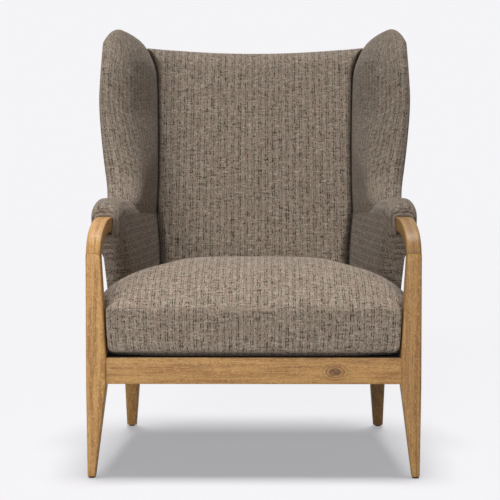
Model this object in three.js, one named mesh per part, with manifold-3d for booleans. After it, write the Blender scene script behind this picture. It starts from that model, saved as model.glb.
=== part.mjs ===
// A wing armchair with an oak show-wood frame, built as separate pieces.
// Millimetres, +Z up, +X to the viewer's right, the front faces -Y.
// Inside this file y is counted from the front faces of the front legs, towards the back.
// The finished group is then moved so that the origin is under the middle of the whole chair.
import * as THREE from "three";
import { mergeVertices } from "three/addons/utils/BufferGeometryUtils.js";
import Module from "manifold-3d";

const wasm = await Module();
wasm.setup();

// Clearances shared by all pieces
const fit_gap = 0.3;
const cut_overrun = 20;
const corner_limit_share = 0.48;

// Whole chair
const chair_width = 745;
const glide_height = 4;
const rail_bottom = 210;
const rail_height = 59;
const rail_top = rail_bottom + rail_height;
const half_width = chair_width / 2;

// Depth of the seat, from which the posts, the back and the wings take their places
const cushion_front_y = 2;
const cushion_depth = 538;
const cushion_rear_y = cushion_front_y + cushion_depth;

// Arms: the upper curve starts on the leg's front edge, the lower one on its back edge
const arm_top_height = 580;
const arm_rise = 80.6;
const arm_thickness = 33;
const arm_bend_reach = 172;
const arm_under_reach = 150;
const arm_bend_width = 36;
const arm_rear_width = 34;
const arm_rear_inset = 20;
const arm_edge_radius = 8;
const arm_underside = arm_top_height - arm_thickness;

// Front legs
const leg_joint_height = arm_top_height - arm_rise;
const leg_foot_width = 18;
const leg_foot_depth = 22;
const leg_foot_inset = 3;
const leg_rail_width = 45.5;
const leg_rail_depth = 46;
const leg_joint_width = 32.5;
const leg_joint_depth = 38;
const leg_edge_radius = 7;

// Height of the wings, from which the posts and the back take theirs
const wing_ridge_height = 1075;

// Back posts: rear leg and back upright in one piece
const post_setback = 70;
const post_rail_y = cushion_rear_y + post_setback;
const post_foot_reach = 116;
const post_foot_y = post_rail_y + post_foot_reach;
const post_foot_width = 26;
const post_foot_depth = 26;
const post_foot_inset = 20;
const post_rail_inset = 19.5;
const post_rail_width = 47;
const post_rail_depth = 50;
const post_knee_rise = 61;
const post_knee_ease = 12;
const post_top_drop = 55;
const post_top_height = wing_ridge_height - post_top_drop;
const post_lean_share = 0.2636;
const post_top_y = post_rail_y + post_lean_share * (post_top_height - rail_top);
const post_top_inset = 35.5;
const post_top_width = 37;
const post_top_depth = 32;
const post_edge_radius = 6;

// Seat frame
const rail_thickness = 24;
const rail_setback = 4;
const side_rail_front_inset = 6.5;
const side_rail_rear_inset = 22.5;
const rear_rail_setback = 32;
const rear_rail_y = post_rail_y + rear_rail_setback;
const tenon_length = 18;
const tenon_thickness = 12;
const tenon_shoulder = 10;
const block_leg = 62;
const block_height = 40;
const screw_head_radius = 4;
const screw_shank_radius = 2;
const screw_head_depth = 3;
const screw_length = 32;

// Loose tenons between legs and arms
const arm_tenon_width = 16;
const arm_tenon_depth = 14;
const arm_tenon_length = 50;

// Glides
const glide_radius = 8;
const glide_pin_radius = 1.6;
const glide_pin_length = 16;

// Seat deck and webbing
const rebate_width = 10;
const webbing_thickness = 2.5;
const webbing_width = 50;
const long_strap_count = 5;
const cross_strap_count = 4;
const deck_thickness = 7.4;
const deck_margin = 1.5;
const cloth_thickness = 1.5;
const dust_cover_inset = 9;

// Upholstery over the sides, wings and back
const cover_over_post = 7;
const side_thickness_low = 117;
const side_thickness_high = 73;
const back_clearance = 35;
const seat_back_y = cushion_rear_y + back_clearance;
const seat_back_height = 450;
const back_lean_share = 0.3;
const arm_pad_front_y = 165;
const side_front_slope_share = 0.55;
const side_roll_depth = 22;
const side_outer_inset = 20;
const side_depth_shares = [0, 0.08, 0.35, 0.7, 1];
const side_roll_shares = [-1, -0.7, 0, 0.7, 1];
const arm_pad_rise = 45;
const arm_pad_sink = 9;
const arm_pad_top = arm_top_height + arm_pad_rise;
const arm_pad_bottom = arm_underside - arm_pad_sink;
const arm_pad_swell = 48;
const arm_pad_hug = 4;
const arm_pad_outside = 17;
const arm_pad_inside = 17.5;
const arm_pad_top_radius = 36;
const arm_pad_bottom_radius = 10;
const arm_pad_rear_radius = 3;
const arm_pad_swell_shares = [0, 0.12, 0.35, 0.65, 1];

// Wings
const wing_front_drop = 34;
const wing_rear_drop = 34;
const wing_outer_drop = 35;
const wing_inner_drop = 88;
const wing_outer_roll = 30;
const wing_inner_roll = 44;
const wing_seat_depth = 175;
const wing_base_y = seat_back_y - wing_seat_depth;
const wing_base_spread = 365;
const wing_lean_depth = 140;
const wing_flare = 41;
const wing_roll_thickness = 68;
const wing_crown = 6;
const wing_board_thickness = 18;
const wing_board_depth = 25;
const wing_board_margin = 34;
const wing_board_reach_shares = [0.1, 0.7];
const wing_board_level_shares = [0, 0.2, 0.4, 0.6, 0.8, 0.92, 1];
const wing_peak_share = 0.15;
const wing_peak_across_share = 0.25;
const wing_depth_shares = [0, 0.07, 0.18, 0.3, 0.5, 0.75, 1];
const wing_level_shares = [0, 0.1, 0.22, 0.36, 0.5, 0.64, 0.76, 0.86, 0.94, 1];
const wing_roll_shares = [-1, -0.88, -0.6, 0, 0.6, 0.88, 1];
const wing_panel_shares = [0, 0.15, 0.4, 0.7, 1];
const wing_flare_power = 1.6;
const wing_rear_power = 1.2;

// Back
const back_pad_bottom = 300;
const back_top_drop = 45;
const back_top_middle = wing_ridge_height - back_top_drop;
const back_top_rise = 18;
const back_front_drop = 46;
const back_rear_drop = 12;
const back_bottom_roll = 66;
const back_bottom_roll_height = 130;
const back_edge_round = 12;
const top_rail_height = 42;
const top_rail_drop = 4;
const lower_rail_rise = 66;
const lower_rail_height = 48;
const back_rail_thickness = 26;
const back_rail_setback = 2;
const back_strap_width = 60;
const back_strap_spread = 330;
const back_strap_lap = 24;
const outside_back_thickness = 5;
const outside_back_rise = 3;
const outside_back_drop = 5;
const outside_cloth = 2.5;
const outside_margin = 5;
const outside_corner_shares = [-1, -0.95, -0.86, -0.5, 0, 0.5, 0.86, 0.95, 1];
const back_width_shares = [-1, -0.93, -0.7, -0.35, 0, 0.35, 0.7, 0.93, 1];
const back_level_shares = [0, 0.07, 0.16, 0.3, 0.5, 0.72, 0.88, 1];
const back_roll_shares = [-1, 0, 0.6, 0.88, 1];
const back_open_share = 0.4;
const back_edge_power = 12;

// Seat cushion
const cushion_leg_clearance = 1.6;
const cushion_side_clearance = 2.5;
const cushion_bottom_seam = 281;
const cushion_boxing = 97;
const cushion_crown = 105;
const cushion_wall = 3;
const cushion_front_width = 652;
const cushion_boxing_bulge = 3;
const cushion_corner_share = 0.045;
const cushion_corner_power = 10;
const cushion_across_power = 4;
const cushion_lengthways_power = 2.2;
const cushion_shoulder_power = 0.8;
const cushion_sole_power = 6;
const cushion_sole_fullness = 2.4;
const cushion_plan_shares = [-1, -0.95, -0.85, -0.65, -0.38, 0, 0.38, 0.65, 0.85, 0.95, 1];
const cushion_boxing_shares = [0, 0.12, 0.5, 0.88, 1];
const cushion_flat = rail_top + fit_gap;

// Zip in the rear boxing
const zip_length = 360;
const zip_rise = 31;
const zip_opening = 8;
const zip_tape_thickness = 1.4;
const slider_length = 10;
const slider_width = 7;
const slider_thickness = 2.4;
const slider_end_gap = 8;
const slider_place = zip_length / 2 - slider_end_gap;
const bridge_width = 2;
const bridge_length = 6;
const bridge_height = 3.6;
const bridge_hole_length = 3;
const bridge_hole_height = 2.2;
const tab_length = 17;
const tab_width = 6;
const tab_thickness = 1.2;
const tab_window_length = 5;
const tab_window_width = 3.2;

// Small helpers

const point = (x, y, z) => new THREE.Vector3(x, y, z);
const mix = (a, b, share) => a + (b - a) * share;
const share_of = (value, low, high) => Math.min(Math.max((value - low) / (high - low), 0), 1);
const round_drop = (w) => 1 - Math.sqrt(Math.max(1 - w * w, 0));

// Evenly spaced shares from low to high
function spread(low, high, steps) {
  return Array.from({ length: steps + 1 }, (_, i) => mix(low, high, i / steps));
}

// Straight lines between [place, value] pairs
function along(pairs, place) {
  let i = 1;
  while (i < pairs.length - 1 && place > pairs[i][0]) i += 1;
  const [low, first] = pairs[i - 1];
  const [high, last] = pairs[i];
  return first + (last - first) * ((place - low) / (high - low));
}

// Merge shared corners, leave out faces with no area and turn the rest outwards
function closed(geometry) {
  if (geometry.userData.closed) return geometry;
  const bare = geometry.clone();
  bare.deleteAttribute("normal");
  bare.deleteAttribute("uv");
  const merged = mergeVertices(bare);
  const at = merged.attributes.position;
  const corners = [point(), point(), point()];
  const faces = [];
  let volume = 0;
  for (let i = 0; i < merged.index.count; i += 3) {
    const face = [0, 1, 2].map((k) => merged.index.getX(i + k));
    if (new Set(face).size < 3) continue;
    faces.push(face);
    const [a, b, c] = corners.map((corner, k) => corner.fromBufferAttribute(at, face[k]));
    volume += a.dot(b.cross(c));
  }
  if (volume < 0) faces.forEach((face) => face.reverse());
  merged.setIndex(faces.flat());
  merged.userData = { closed: true };
  return merged;
}

function solid(geometry) {
  const ready = closed(geometry);
  return new wasm.Manifold(new wasm.Mesh({
    numProp: 3,
    vertProperties: new Float32Array(ready.attributes.position.array),
    triVerts: new Uint32Array(ready.index.array),
  }));
}

function geometry_of(body) {
  const mesh = body.getMesh();
  const geometry = new THREE.BufferGeometry();
  geometry.setAttribute("position", new THREE.BufferAttribute(new Float32Array(mesh.vertProperties), 3));
  geometry.setIndex(new THREE.BufferAttribute(new Uint32Array(mesh.triVerts), 1));
  geometry.userData = { closed: true };
  return geometry;
}

// The first geometry less all the others
function cut(geometry, ...tools) {
  let body = solid(geometry);
  for (const tool of tools) body = body.subtract(solid(tool));
  return geometry_of(body);
}

// All the geometries as one body
function joined(...parts) {
  let body = solid(parts[0]);
  for (const part of parts.slice(1)) body = body.add(solid(part));
  return geometry_of(body);
}

// The same shape on the other side of the chair
function mirrored(geometry) {
  const copy = closed(geometry).clone().scale(-1, 1, 1);
  const corners = Array.from(copy.index.array).reverse();
  copy.setIndex(corners);
  return copy;
}

// A box between two corners
function box(low, high) {
  const size = high.clone().sub(low);
  const shape = new THREE.BoxGeometry(size.x, size.y, size.z);
  shape.translate((low.x + high.x) / 2, (low.y + high.y) / 2, (low.z + high.z) / 2);
  return closed(shape);
}

// A block whose grid of shares (u, v, w) is carried to its place by a formula
function formed_block(us, vs, ws, place) {
  const block = new THREE.BoxGeometry(1, 1, 1, us.length - 1, vs.length - 1, ws.length - 1);
  const at = block.attributes.position;
  const knot = (values, share) => values[Math.round((share + 0.5) * (values.length - 1))];
  for (let i = 0; i < at.count; i += 1) {
    const spot = place(knot(us, at.getX(i)), knot(vs, at.getY(i)), knot(ws, at.getZ(i)));
    at.setXYZ(i, spot.x, spot.y, spot.z);
  }
  return closed(block);
}

// A closed skin over a row of rings, each a convex loop of the same number of points
function skinned(rings) {
  const count = rings[0].length;
  const faces = [];
  for (let r = 0; r + 1 < rings.length; r += 1) {
    for (let i = 0; i < count; i += 1) {
      const a = r * count + i;
      const b = r * count + ((i + 1) % count);
      faces.push(a, b, b + count, a, b + count, a + count);
    }
  }
  const last = (rings.length - 1) * count;
  for (let i = 1; i + 1 < count; i += 1) {
    faces.push(0, i + 1, i, last, last + i, last + i + 1);
  }
  const geometry = new THREE.BufferGeometry().setFromPoints(rings.flat());
  geometry.setIndex(faces);
  return closed(geometry);
}

// A rectangle about the middle with round corners; low and high corners may differ
function round_rectangle(width, height, low_radius, high_radius, steps = 3) {
  const limit = corner_limit_share * Math.min(width, height);
  const corners = [
    [1, 1, high_radius, 0],
    [-1, 1, high_radius, 1],
    [-1, -1, low_radius, 2],
    [1, -1, low_radius, 3],
  ];
  const loop = [];
  for (const [right, up, radius, quarter] of corners) {
    const r = Math.min(radius, limit);
    for (let i = 0; i <= steps; i += 1) {
      const turn = (quarter + i / steps) * Math.PI / 2;
      loop.push(new THREE.Vector2(
        right * (width / 2 - r) + r * Math.cos(turn),
        up * (height / 2 - r) + r * Math.sin(turn),
      ));
    }
  }
  return loop;
}

// Front legs

// [height, outer inset, width, depth] from the floor up
const leg_stations = [
  [glide_height, leg_foot_inset, leg_foot_width, leg_foot_depth],
  [rail_bottom, 0, leg_rail_width, leg_rail_depth],
  [rail_top, 0, leg_rail_width, leg_rail_depth],
  [leg_joint_height, 0, leg_joint_width, leg_joint_depth],
];

function leg_value(column, z) {
  return along(leg_stations.map((station) => [station[0], station[column]]), z);
}

function leg_inner_x(z) {
  return half_width - leg_value(1, z) - leg_value(2, z);
}

function front_leg_form(grow) {
  const rings = leg_stations.map(([z, inset, width, depth]) =>
    round_rectangle(width + 2 * grow, depth + 2 * grow, leg_edge_radius, leg_edge_radius).map((p) =>
      point(half_width - inset - width / 2 + p.x, depth / 2 + p.y, z)));
  return skinned(rings);
}

const foot_centre_x = half_width - leg_foot_inset - leg_foot_width / 2;
const front_foot_y = leg_foot_depth / 2;

// Arms

function arm_outer_x(y) {
  return half_width - arm_rear_inset * share_of(y, 0, post_rail_y);
}

function arm_width(y) {
  const first = [0, leg_joint_width];
  return along([first, [arm_bend_reach, arm_bend_width], [post_rail_y, arm_rear_width]], y);
}

function arm_ring(top, under, grow) {
  const middle = top.clone().add(under).multiplyScalar(0.5);
  const outer = arm_outer_x(middle.y);
  const width = arm_width(middle.y);
  const up = top.clone().sub(under);
  const thickness = up.length();
  up.normalize();
  return round_rectangle(width + 2 * grow, thickness + 2 * grow, arm_edge_radius, arm_edge_radius)
    .map((p) => point(outer - width / 2 + p.x, middle.y + up.y * p.y, middle.z + up.z * p.y));
}

function arm_form(rear_y, grow) {
  const rings = spread(0, Math.PI / 2, 8).map((turn) => {
    const top = point(
      0,
      arm_bend_reach * (1 - Math.cos(turn)),
      mix(leg_joint_height, arm_top_height, Math.sin(turn)),
    );
    const under = point(
      0,
      leg_joint_depth + arm_under_reach * (1 - Math.cos(turn)),
      mix(leg_joint_height, arm_underside, Math.sin(turn)),
    );
    return arm_ring(top, under, grow);
  });
  const bend_end = arm_bend_reach + leg_joint_depth;
  for (const y of [bend_end, post_rail_y, rear_y]) {
    rings.push(arm_ring(point(0, y, arm_top_height), point(0, y, arm_underside), grow));
  }
  return skinned(rings);
}

// Back posts

const knee_height = rail_top + post_knee_rise;
const post_splay = (post_foot_y - post_rail_y) / (rail_top - glide_height);

// [height, front face, depth, outer inset, width] from the floor up
const post_stations = [
  [glide_height, post_foot_y, post_foot_depth, post_foot_inset, post_foot_width],
  [rail_bottom, post_rail_y + post_splay * rail_height, post_rail_depth, post_rail_inset, post_rail_width],
  [rail_top, post_rail_y + post_knee_ease, post_rail_depth, post_rail_inset, post_rail_width],
  [knee_height, post_rail_y + post_lean_share * post_knee_rise, 0, 0, 0],
  [post_top_height, post_top_y, post_top_depth, post_top_inset, post_top_width],
];
const knee_share = post_knee_rise / (post_top_height - rail_top);
post_stations[3][2] = mix(post_rail_depth, post_top_depth, knee_share);
post_stations[3][3] = mix(post_rail_inset, post_top_inset, knee_share);
post_stations[3][4] = mix(post_rail_width, post_top_width, knee_share);

function post_value(column, z) {
  return along(post_stations.map((station) => [station[0], station[column]]), z);
}

const post_front_y = (z) => post_value(1, z);
const post_rear_y = (z) => post_value(1, z) + post_value(2, z);
const post_outer_x = (z) => half_width - post_value(3, z);
const post_inner_x = (z) => half_width - post_value(3, z) - post_value(4, z);

function post_form(grow) {
  const rings = post_stations.map(([z, front, depth, inset, width], i) => {
    const end = i === post_stations.length - 1 ? grow : 0;
    return round_rectangle(width + 2 * grow, depth + 2 * grow, post_edge_radius, post_edge_radius)
      .map((p) => point(half_width - inset - width / 2 + p.x, front + depth / 2 + p.y, z + end));
  });
  return skinned(rings);
}

const rear_foot_x = half_width - post_foot_inset - post_foot_width / 2;
const rear_foot_y = post_foot_y + post_foot_depth / 2;
const post_grown = post_form(fit_gap);

// Seat frame

const tenon_low = rail_bottom + tenon_shoulder;
const tenon_high = rail_top - tenon_shoulder;
const leg_face_x = half_width - leg_rail_width;
const front_rail_front = rail_setback;
const front_rail_rear = rail_setback + rail_thickness;
const front_tenon_y = rail_setback + (rail_thickness - tenon_thickness) / 2;
const post_face_x = half_width - post_rail_inset - post_rail_width;
const rear_tenon_y = rear_rail_y + (rail_thickness - tenon_thickness) / 2;
const rear_rail_rear = rear_rail_y + rail_thickness;

function front_tenon(grow) {
  return box(
    point(leg_face_x - (grow ? cut_overrun : tenon_length), front_tenon_y - grow, tenon_low - grow),
    point(leg_face_x + tenon_length + grow, front_tenon_y + tenon_thickness + grow, tenon_high + grow),
  );
}

function rear_tenon(grow) {
  return box(
    point(post_face_x - (grow ? cut_overrun : tenon_length), rear_tenon_y - grow, tenon_low - grow),
    point(post_face_x + tenon_length + grow, rear_tenon_y + tenon_thickness + grow, tenon_high + grow),
  );
}

// Side rail: its outer face runs from the front leg to the back post
function side_rail_outer_x(y) {
  const share = share_of(y, leg_rail_depth, post_rail_y);
  return half_width - mix(side_rail_front_inset, side_rail_rear_inset, share);
}

const side_rail_inner_x = (y) => side_rail_outer_x(y) - rail_thickness;

function side_rail_block(from_y, to_y, inner, outer, low, high) {
  return formed_block([0, 1], [0, 1], [0, 1], (u, v, w) => {
    const y = mix(from_y, to_y, u);
    return point(side_rail_outer_x(y) - mix(inner, outer, w), y, mix(low, high, v));
  });
}

const tenon_cheek = (rail_thickness - tenon_thickness) / 2;

function side_front_tenon(grow) {
  const start = leg_rail_depth - tenon_length - grow;
  const end = leg_rail_depth + (grow ? cut_overrun : tenon_length);
  const inner = rail_thickness - tenon_cheek + grow;
  return side_rail_block(start, end, inner, tenon_cheek - grow, tenon_low - grow, tenon_high + grow);
}

function side_rear_tenon(grow) {
  const start = post_rail_y - (grow ? cut_overrun : tenon_length);
  const end = post_front_y(rail_bottom) + tenon_length + grow;
  const inner = rail_thickness - tenon_cheek + grow;
  return side_rail_block(start, end, inner, tenon_cheek - grow, tenon_low - grow, tenon_high + grow);
}

const rebate_floor = rail_top - deck_thickness - webbing_thickness - 2 * fit_gap;

const front_rail = cut(
  joined(
    box(point(-leg_face_x, front_rail_front, rail_bottom), point(leg_face_x, front_rail_rear, rail_top)),
    front_tenon(0),
    mirrored(front_tenon(0)),
  ),
  box(
    point(-leg_face_x + rebate_width, front_rail_rear - rebate_width, rebate_floor),
    point(leg_face_x - rebate_width, front_rail_rear + cut_overrun, rail_top + cut_overrun),
  ),
);

const rear_rail = cut(
  joined(
    box(point(-post_face_x, rear_rail_y, rail_bottom), point(post_face_x, rear_rail_rear, rail_top)),
    rear_tenon(0),
    mirrored(rear_tenon(0)),
  ),
  box(
    point(-post_face_x + rebate_width, rear_rail_y - cut_overrun, rebate_floor),
    point(post_face_x - rebate_width, rear_rail_y + rebate_width, rail_top + cut_overrun),
  ),
);

const side_rail = cut(
  joined(
    cut(
      side_rail_block(leg_rail_depth, post_front_y(rail_bottom) + tenon_length, rail_thickness, 0,
        rail_bottom, rail_top),
      post_grown,
    ),
    side_front_tenon(0),
    side_rear_tenon(0),
  ),
  side_rail_block(
    front_rail_rear + rebate_width + tenon_length, post_rail_y - rebate_width,
    rail_thickness + cut_overrun, rail_thickness - rebate_width, rebate_floor, rail_top + cut_overrun,
  ),
);

// Corner blocks: three-sided prisms in the corners of the seat frame

const block_low = rail_bottom + (rail_height - block_height) / 4;
const block_high = block_low + block_height;

function corner_block(corner_x, corner_y, front) {
  const outline = new THREE.Shape([
    new THREE.Vector2(0, 0),
    new THREE.Vector2(-block_leg, 0),
    new THREE.Vector2(0, front * block_leg),
  ]);
  const prism = new THREE.ExtrudeGeometry(outline, { depth: block_height, bevelEnabled: false });
  prism.translate(corner_x, corner_y, block_low);
  return closed(prism);
}

// A screw along +X from its head's outer face at the origin
function screw_form(grow) {
  const head = screw_head_radius + grow;
  const shank = screw_shank_radius + grow;
  const outline = [
    new THREE.Vector2(0, -(grow ? cut_overrun : 0)),
    new THREE.Vector2(head, -(grow ? cut_overrun : 0)),
    new THREE.Vector2(head, screw_head_depth + grow),
    new THREE.Vector2(shank, screw_head_depth + grow),
    new THREE.Vector2(shank, screw_length + grow),
    new THREE.Vector2(0, screw_length + grow),
  ];
  const shape = new THREE.LatheGeometry(outline, 8);
  shape.rotateZ(-Math.PI / 2);
  return shape;
}

const screw_height = (block_low + block_high) / 2;
const screw_offset = block_leg / 2;
const screw_sink = screw_length - rail_thickness / 2;

// Where each block's corner lies, and which way its screws go
const front_corner_x = leg_face_x - fit_gap;
const rear_corner_x = post_face_x - fit_gap;
const block_corners = {
  front: {
    x: Math.min(front_corner_x, side_rail_inner_x(leg_rail_depth + block_leg) - fit_gap),
    y: front_rail_rear + fit_gap,
    way: 1,
  },
  rear: { x: rear_corner_x, y: rear_rail_y - fit_gap, way: -1 },
};

function placed_screw(corner, into_side, grow) {
  const shape = screw_form(grow);
  if (into_side) {
    shape.translate(corner.x - screw_sink, corner.y + corner.way * screw_offset, screw_height);
  } else {
    shape.rotateZ(-corner.way * Math.PI / 2);
    shape.translate(corner.x - screw_offset, corner.y + corner.way * screw_sink, screw_height);
  }
  return shape;
}

// Glides

function glide_form() {
  return new THREE.LatheGeometry([
    new THREE.Vector2(0, 0),
    new THREE.Vector2(glide_radius, 0),
    new THREE.Vector2(glide_radius, glide_height),
    new THREE.Vector2(glide_pin_radius, glide_height),
    new THREE.Vector2(glide_pin_radius, glide_height + glide_pin_length),
    new THREE.Vector2(0, glide_height + glide_pin_length),
  ], 12).rotateX(Math.PI / 2);
}

function glide_bore(x, y) {
  const bore = new THREE.CylinderGeometry(
    glide_pin_radius + fit_gap, glide_pin_radius + fit_gap, glide_pin_length + cut_overrun, 8,
  );
  bore.rotateX(Math.PI / 2);
  bore.translate(x, y, glide_height + fit_gap + (glide_pin_length - cut_overrun) / 2);
  return bore;
}

// Upholstery lines shared by the sides, wings, back and cushion

const back_face_y = (z) => seat_back_y + back_lean_share * (z - seat_back_height);
const rear_outer_x = (z) => post_outer_x(z) + cover_over_post;
const side_thickness = (z) => mix(
  side_thickness_low, side_thickness_high, share_of(z, rail_top, wing_ridge_height),
);
const corner_x = (z) => rear_outer_x(z) - side_thickness(z);
const pad_outer_front_x = arm_outer_x(arm_pad_front_y) + arm_pad_outside;
const pad_outer_rear_x = arm_outer_x(post_rail_y) + arm_pad_hug;
const pad_inner_front_x = arm_outer_x(arm_pad_front_y) - arm_width(arm_pad_front_y) - arm_pad_inside;

// Inner face of the sides: from the arm pad's front to the corner with the back, then straight back
function inner_x(y, z) {
  return mix(pad_inner_front_x, corner_x(z), share_of(y, arm_pad_front_y, back_face_y(z)));
}

// Side pads

const side_low = rail_top + fit_gap;
const side_high = arm_pad_bottom - fit_gap;
const side_levels = [side_low, ...spread(knee_height, side_high, 3)];

const side_edge_y = (z) => arm_pad_front_y + side_front_slope_share * (side_high - z);

function side_outer_x(y, z) {
  const front = half_width - side_outer_inset;
  const rear = post_outer_x(z) + cover_over_post / 2;
  return mix(front, rear, share_of(y, arm_pad_front_y, post_front_y(z)));
}

function side_pad_form() {
  return formed_block(side_depth_shares, side_levels, side_roll_shares, (u, z, w) => {
    const front = side_edge_y(z) + side_roll_depth * round_drop(w);
    const y = mix(front, post_rear_y(z) - fit_gap, u);
    return point(mix(inner_x(y, z), side_outer_x(y, z), (w + 1) / 2), y, z);
  });
}

// A cloth-covered panel let into the outer face; grown, it is the pocket that it lies in
function outside_panel(us, vs, edge_place, grow) {
  return formed_block(us, vs, [0, 1], (u, v, w) => {
    const { outer, y, z } = edge_place(u, v);
    const longer = (u === us.at(-1) ? grow : 0) - (u === us[0] ? grow : 0);
    const higher = (v === vs.at(-1) ? grow : 0) - (v === vs[0] ? grow : 0);
    const x = w ? outer + (grow ? cut_overrun : 0) : outer - outside_cloth - grow;
    return point(x, y + longer, z + higher);
  });
}

function side_panel_form(grow) {
  return outside_panel(spread(0, 1, 3), side_levels, (u, level) => {
    const z = Math.min(Math.max(level, side_low + outside_margin), side_high - outside_margin);
    const front = side_edge_y(z) + side_roll_depth + outside_margin;
    const y = mix(front, post_rear_y(z) - outside_margin, u);
    return { outer: side_outer_x(y, z), y, z };
  }, grow);
}

// Arm pads: sleeves that swell from a tight front edge

function arm_pad_form(rear_y) {
  const stations = arm_pad_swell_shares.map((share) => arm_pad_front_y + arm_pad_swell * share);
  stations.push(...spread(arm_pad_front_y + arm_pad_swell, rear_y, 5).slice(1));
  const rings = stations.map((y) => {
    const swell = Math.sqrt(share_of(y, arm_pad_front_y - arm_pad_hug, arm_pad_front_y + arm_pad_swell));
    const tilt = share_of(y, arm_pad_front_y + arm_pad_swell, rear_y);
    const hug_outer = arm_outer_x(y) + arm_pad_hug;
    const hug_inner = arm_outer_x(y) - arm_width(y) - arm_pad_hug;
    const rear_share = share_of(y, arm_pad_front_y, post_front_y(arm_pad_top));
    const outer = mix(hug_outer, mix(pad_outer_front_x, pad_outer_rear_x, rear_share), swell);
    const top = mix(arm_top_height + arm_pad_hug, arm_pad_top, swell);
    const width = outer - mix(hug_inner, inner_x(y, arm_pad_top), swell);
    const height = top - arm_pad_bottom;
    const high_radius = mix(mix(arm_edge_radius, arm_pad_top_radius, swell), arm_pad_rear_radius, tilt);
    const low_radius = mix(arm_pad_bottom_radius, arm_pad_rear_radius, tilt);
    return round_rectangle(width, height, low_radius, high_radius, 4).map((p) => {
      const z = arm_pad_bottom + height / 2 + p.y;
      const inner = mix(hug_inner, inner_x(y, z), swell);
      const x = mix(outer, inner, 1 / 2 - p.x / width);
      return point(x, y + tilt * (post_rear_y(z) - post_rear_y(arm_pad_bottom)), z);
    });
  });
  return skinned(rings);
}

// Wings

// Height, reach and spread of the wing's front edge, as shares of the wing's height, lean and flare
const wing_edge_shares = [
  [0, 0, 0],
  [0.16, 0.17, 0.42],
  [0.34, 0.31, 0.78],
  [0.55, 0.43, 1],
  [0.74, 0.57, 0.97],
  [0.85, 0.74, 0.93],
  [1, 1.04, 0.9],
];
const wing_height = wing_ridge_height - arm_pad_top;

function wing_edge(column, z) {
  const pairs = wing_edge_shares.map((row) => [arm_pad_top + row[0] * wing_height, row[column]]);
  return along(pairs, z);
}

const wing_front_y = (z) => wing_base_y + wing_lean_depth * wing_edge(1, z);
const wing_spread_x = (z) => wing_base_spread + wing_flare * wing_edge(2, z);

// Outer face of a wing: flares forwards from the straight rear part
function wing_outer_x(y, z) {
  const flare = 1 - share_of(y, wing_front_y(z), back_face_y(z));
  return rear_outer_x(z) + (wing_spread_x(z) - rear_outer_x(z)) * Math.pow(flare, wing_flare_power);
}

function wing_depth_share(y, z) {
  return share_of(y, wing_front_y(z), back_face_y(z));
}

function wing_thickness(y, z) {
  const base = wing_outer_x(wing_front_y(z), z) - inner_x(wing_front_y(z), arm_pad_top);
  const front = mix(base, wing_roll_thickness, share_of(z, arm_pad_top, arm_pad_top + wing_height / 2));
  const share = wing_depth_share(y, z);
  return mix(front, side_thickness(z), share) + wing_crown * Math.sin(Math.PI * share);
}

function wing_ridge(u) {
  const front = Math.max(wing_peak_share - u, 0) / wing_peak_share;
  const rear = Math.max(u - wing_peak_share, 0) / (1 - wing_peak_share);
  return wing_ridge_height - wing_front_drop * front * front - wing_rear_drop * Math.pow(rear, wing_rear_power);
}

const wing_low = arm_pad_top + fit_gap;

// u runs from the front edge to the rear, v from the arm up to the ridge, w from inner to outer face
function wing_place(u, v, w) {
  const drop = (w > 0 ? wing_outer_drop : wing_inner_drop) * round_drop(w);
  const roll = (w > 0 ? wing_outer_roll : wing_inner_roll) * round_drop(w);
  const z = mix(wing_low, wing_ridge(u) - drop, v);
  const front = wing_front_y(z) + roll;
  const y = mix(front, post_rear_y(z) - fit_gap, u);
  const outer = wing_outer_x(y, z);
  const across = mix(wing_peak_across_share, Math.sign(w), Math.abs(w));
  return point(outer - wing_thickness(y, z) * (1 - across) / 2, y, z);
}

function wing_form(grow) {
  return formed_block(wing_depth_shares, wing_level_shares, wing_roll_shares, (u, v, w) => {
    const spot = wing_place(u, v, w);
    const longer = Math.floor(u) * (grow ? cut_overrun : 0);
    return point(spot.x - grow * (1 - w) / 2, spot.y + longer, spot.z + grow * v);
  });
}

function wing_panel_form(grow) {
  return outside_panel(wing_panel_shares, wing_level_shares, (u, v) => {
    const low = wing_low + outside_margin;
    const z = mix(low, wing_ridge(u) - wing_outer_drop - outside_margin, v);
    const front = wing_front_y(z) + wing_outer_roll + outside_margin;
    const y = mix(front, post_rear_y(z) - outside_margin, u);
    return { outer: wing_outer_x(y, z), y, z };
  }, grow);
}

// Shaped board inside the wing, standing on the arm and butted to the post
function wing_board_form(grow) {
  return formed_block(spread(0, 1, 5), wing_board_level_shares, [0, 1], (u, v, w) => {
    const ridge = wing_ridge(mix(...wing_board_reach_shares, u));
    const z = mix(arm_top_height + fit_gap, ridge - wing_board_margin, v);
    const y = mix(wing_front_y(z) + wing_board_margin, post_front_y(z) - fit_gap, u);
    const outer = wing_outer_x(y, z) - wing_board_depth + grow;
    const longer = u === 0 ? -grow : Math.floor(u) * (grow ? cut_overrun : 0);
    const higher = (v === 1 ? grow : 0) - (v === 0 ? grow : 0);
    return point(outer - (wing_board_thickness + 2 * grow) * (1 - w), y + longer, z + higher);
  });
}

// Back frame

function raked_board(left_x, right_x, low, high, front_y, thickness, grow) {
  return formed_block([0, 1], [0, 1], [0, 1], (u, v, w) => {
    const z = mix(low - grow, high + grow, v);
    const x = mix(left_x(z), right_x(z), u);
    return point(x, front_y(z) + mix(-grow, thickness + grow, w), z);
  });
}

const top_rail_high = post_top_height - top_rail_drop;
const top_rail_low = top_rail_high - top_rail_height;
const lower_rail_low = rail_top + lower_rail_rise;
const lower_rail_high = lower_rail_low + lower_rail_height;
const back_rail_front_y = (z) => post_front_y(z) + back_rail_setback;
const rail_end_x = (z) => post_inner_x(z) - fit_gap;

function back_rail(low, high, grow) {
  const left_x = (z) => -rail_end_x(z);
  return raked_board(left_x, rail_end_x, low, high, back_rail_front_y, back_rail_thickness, grow);
}

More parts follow.
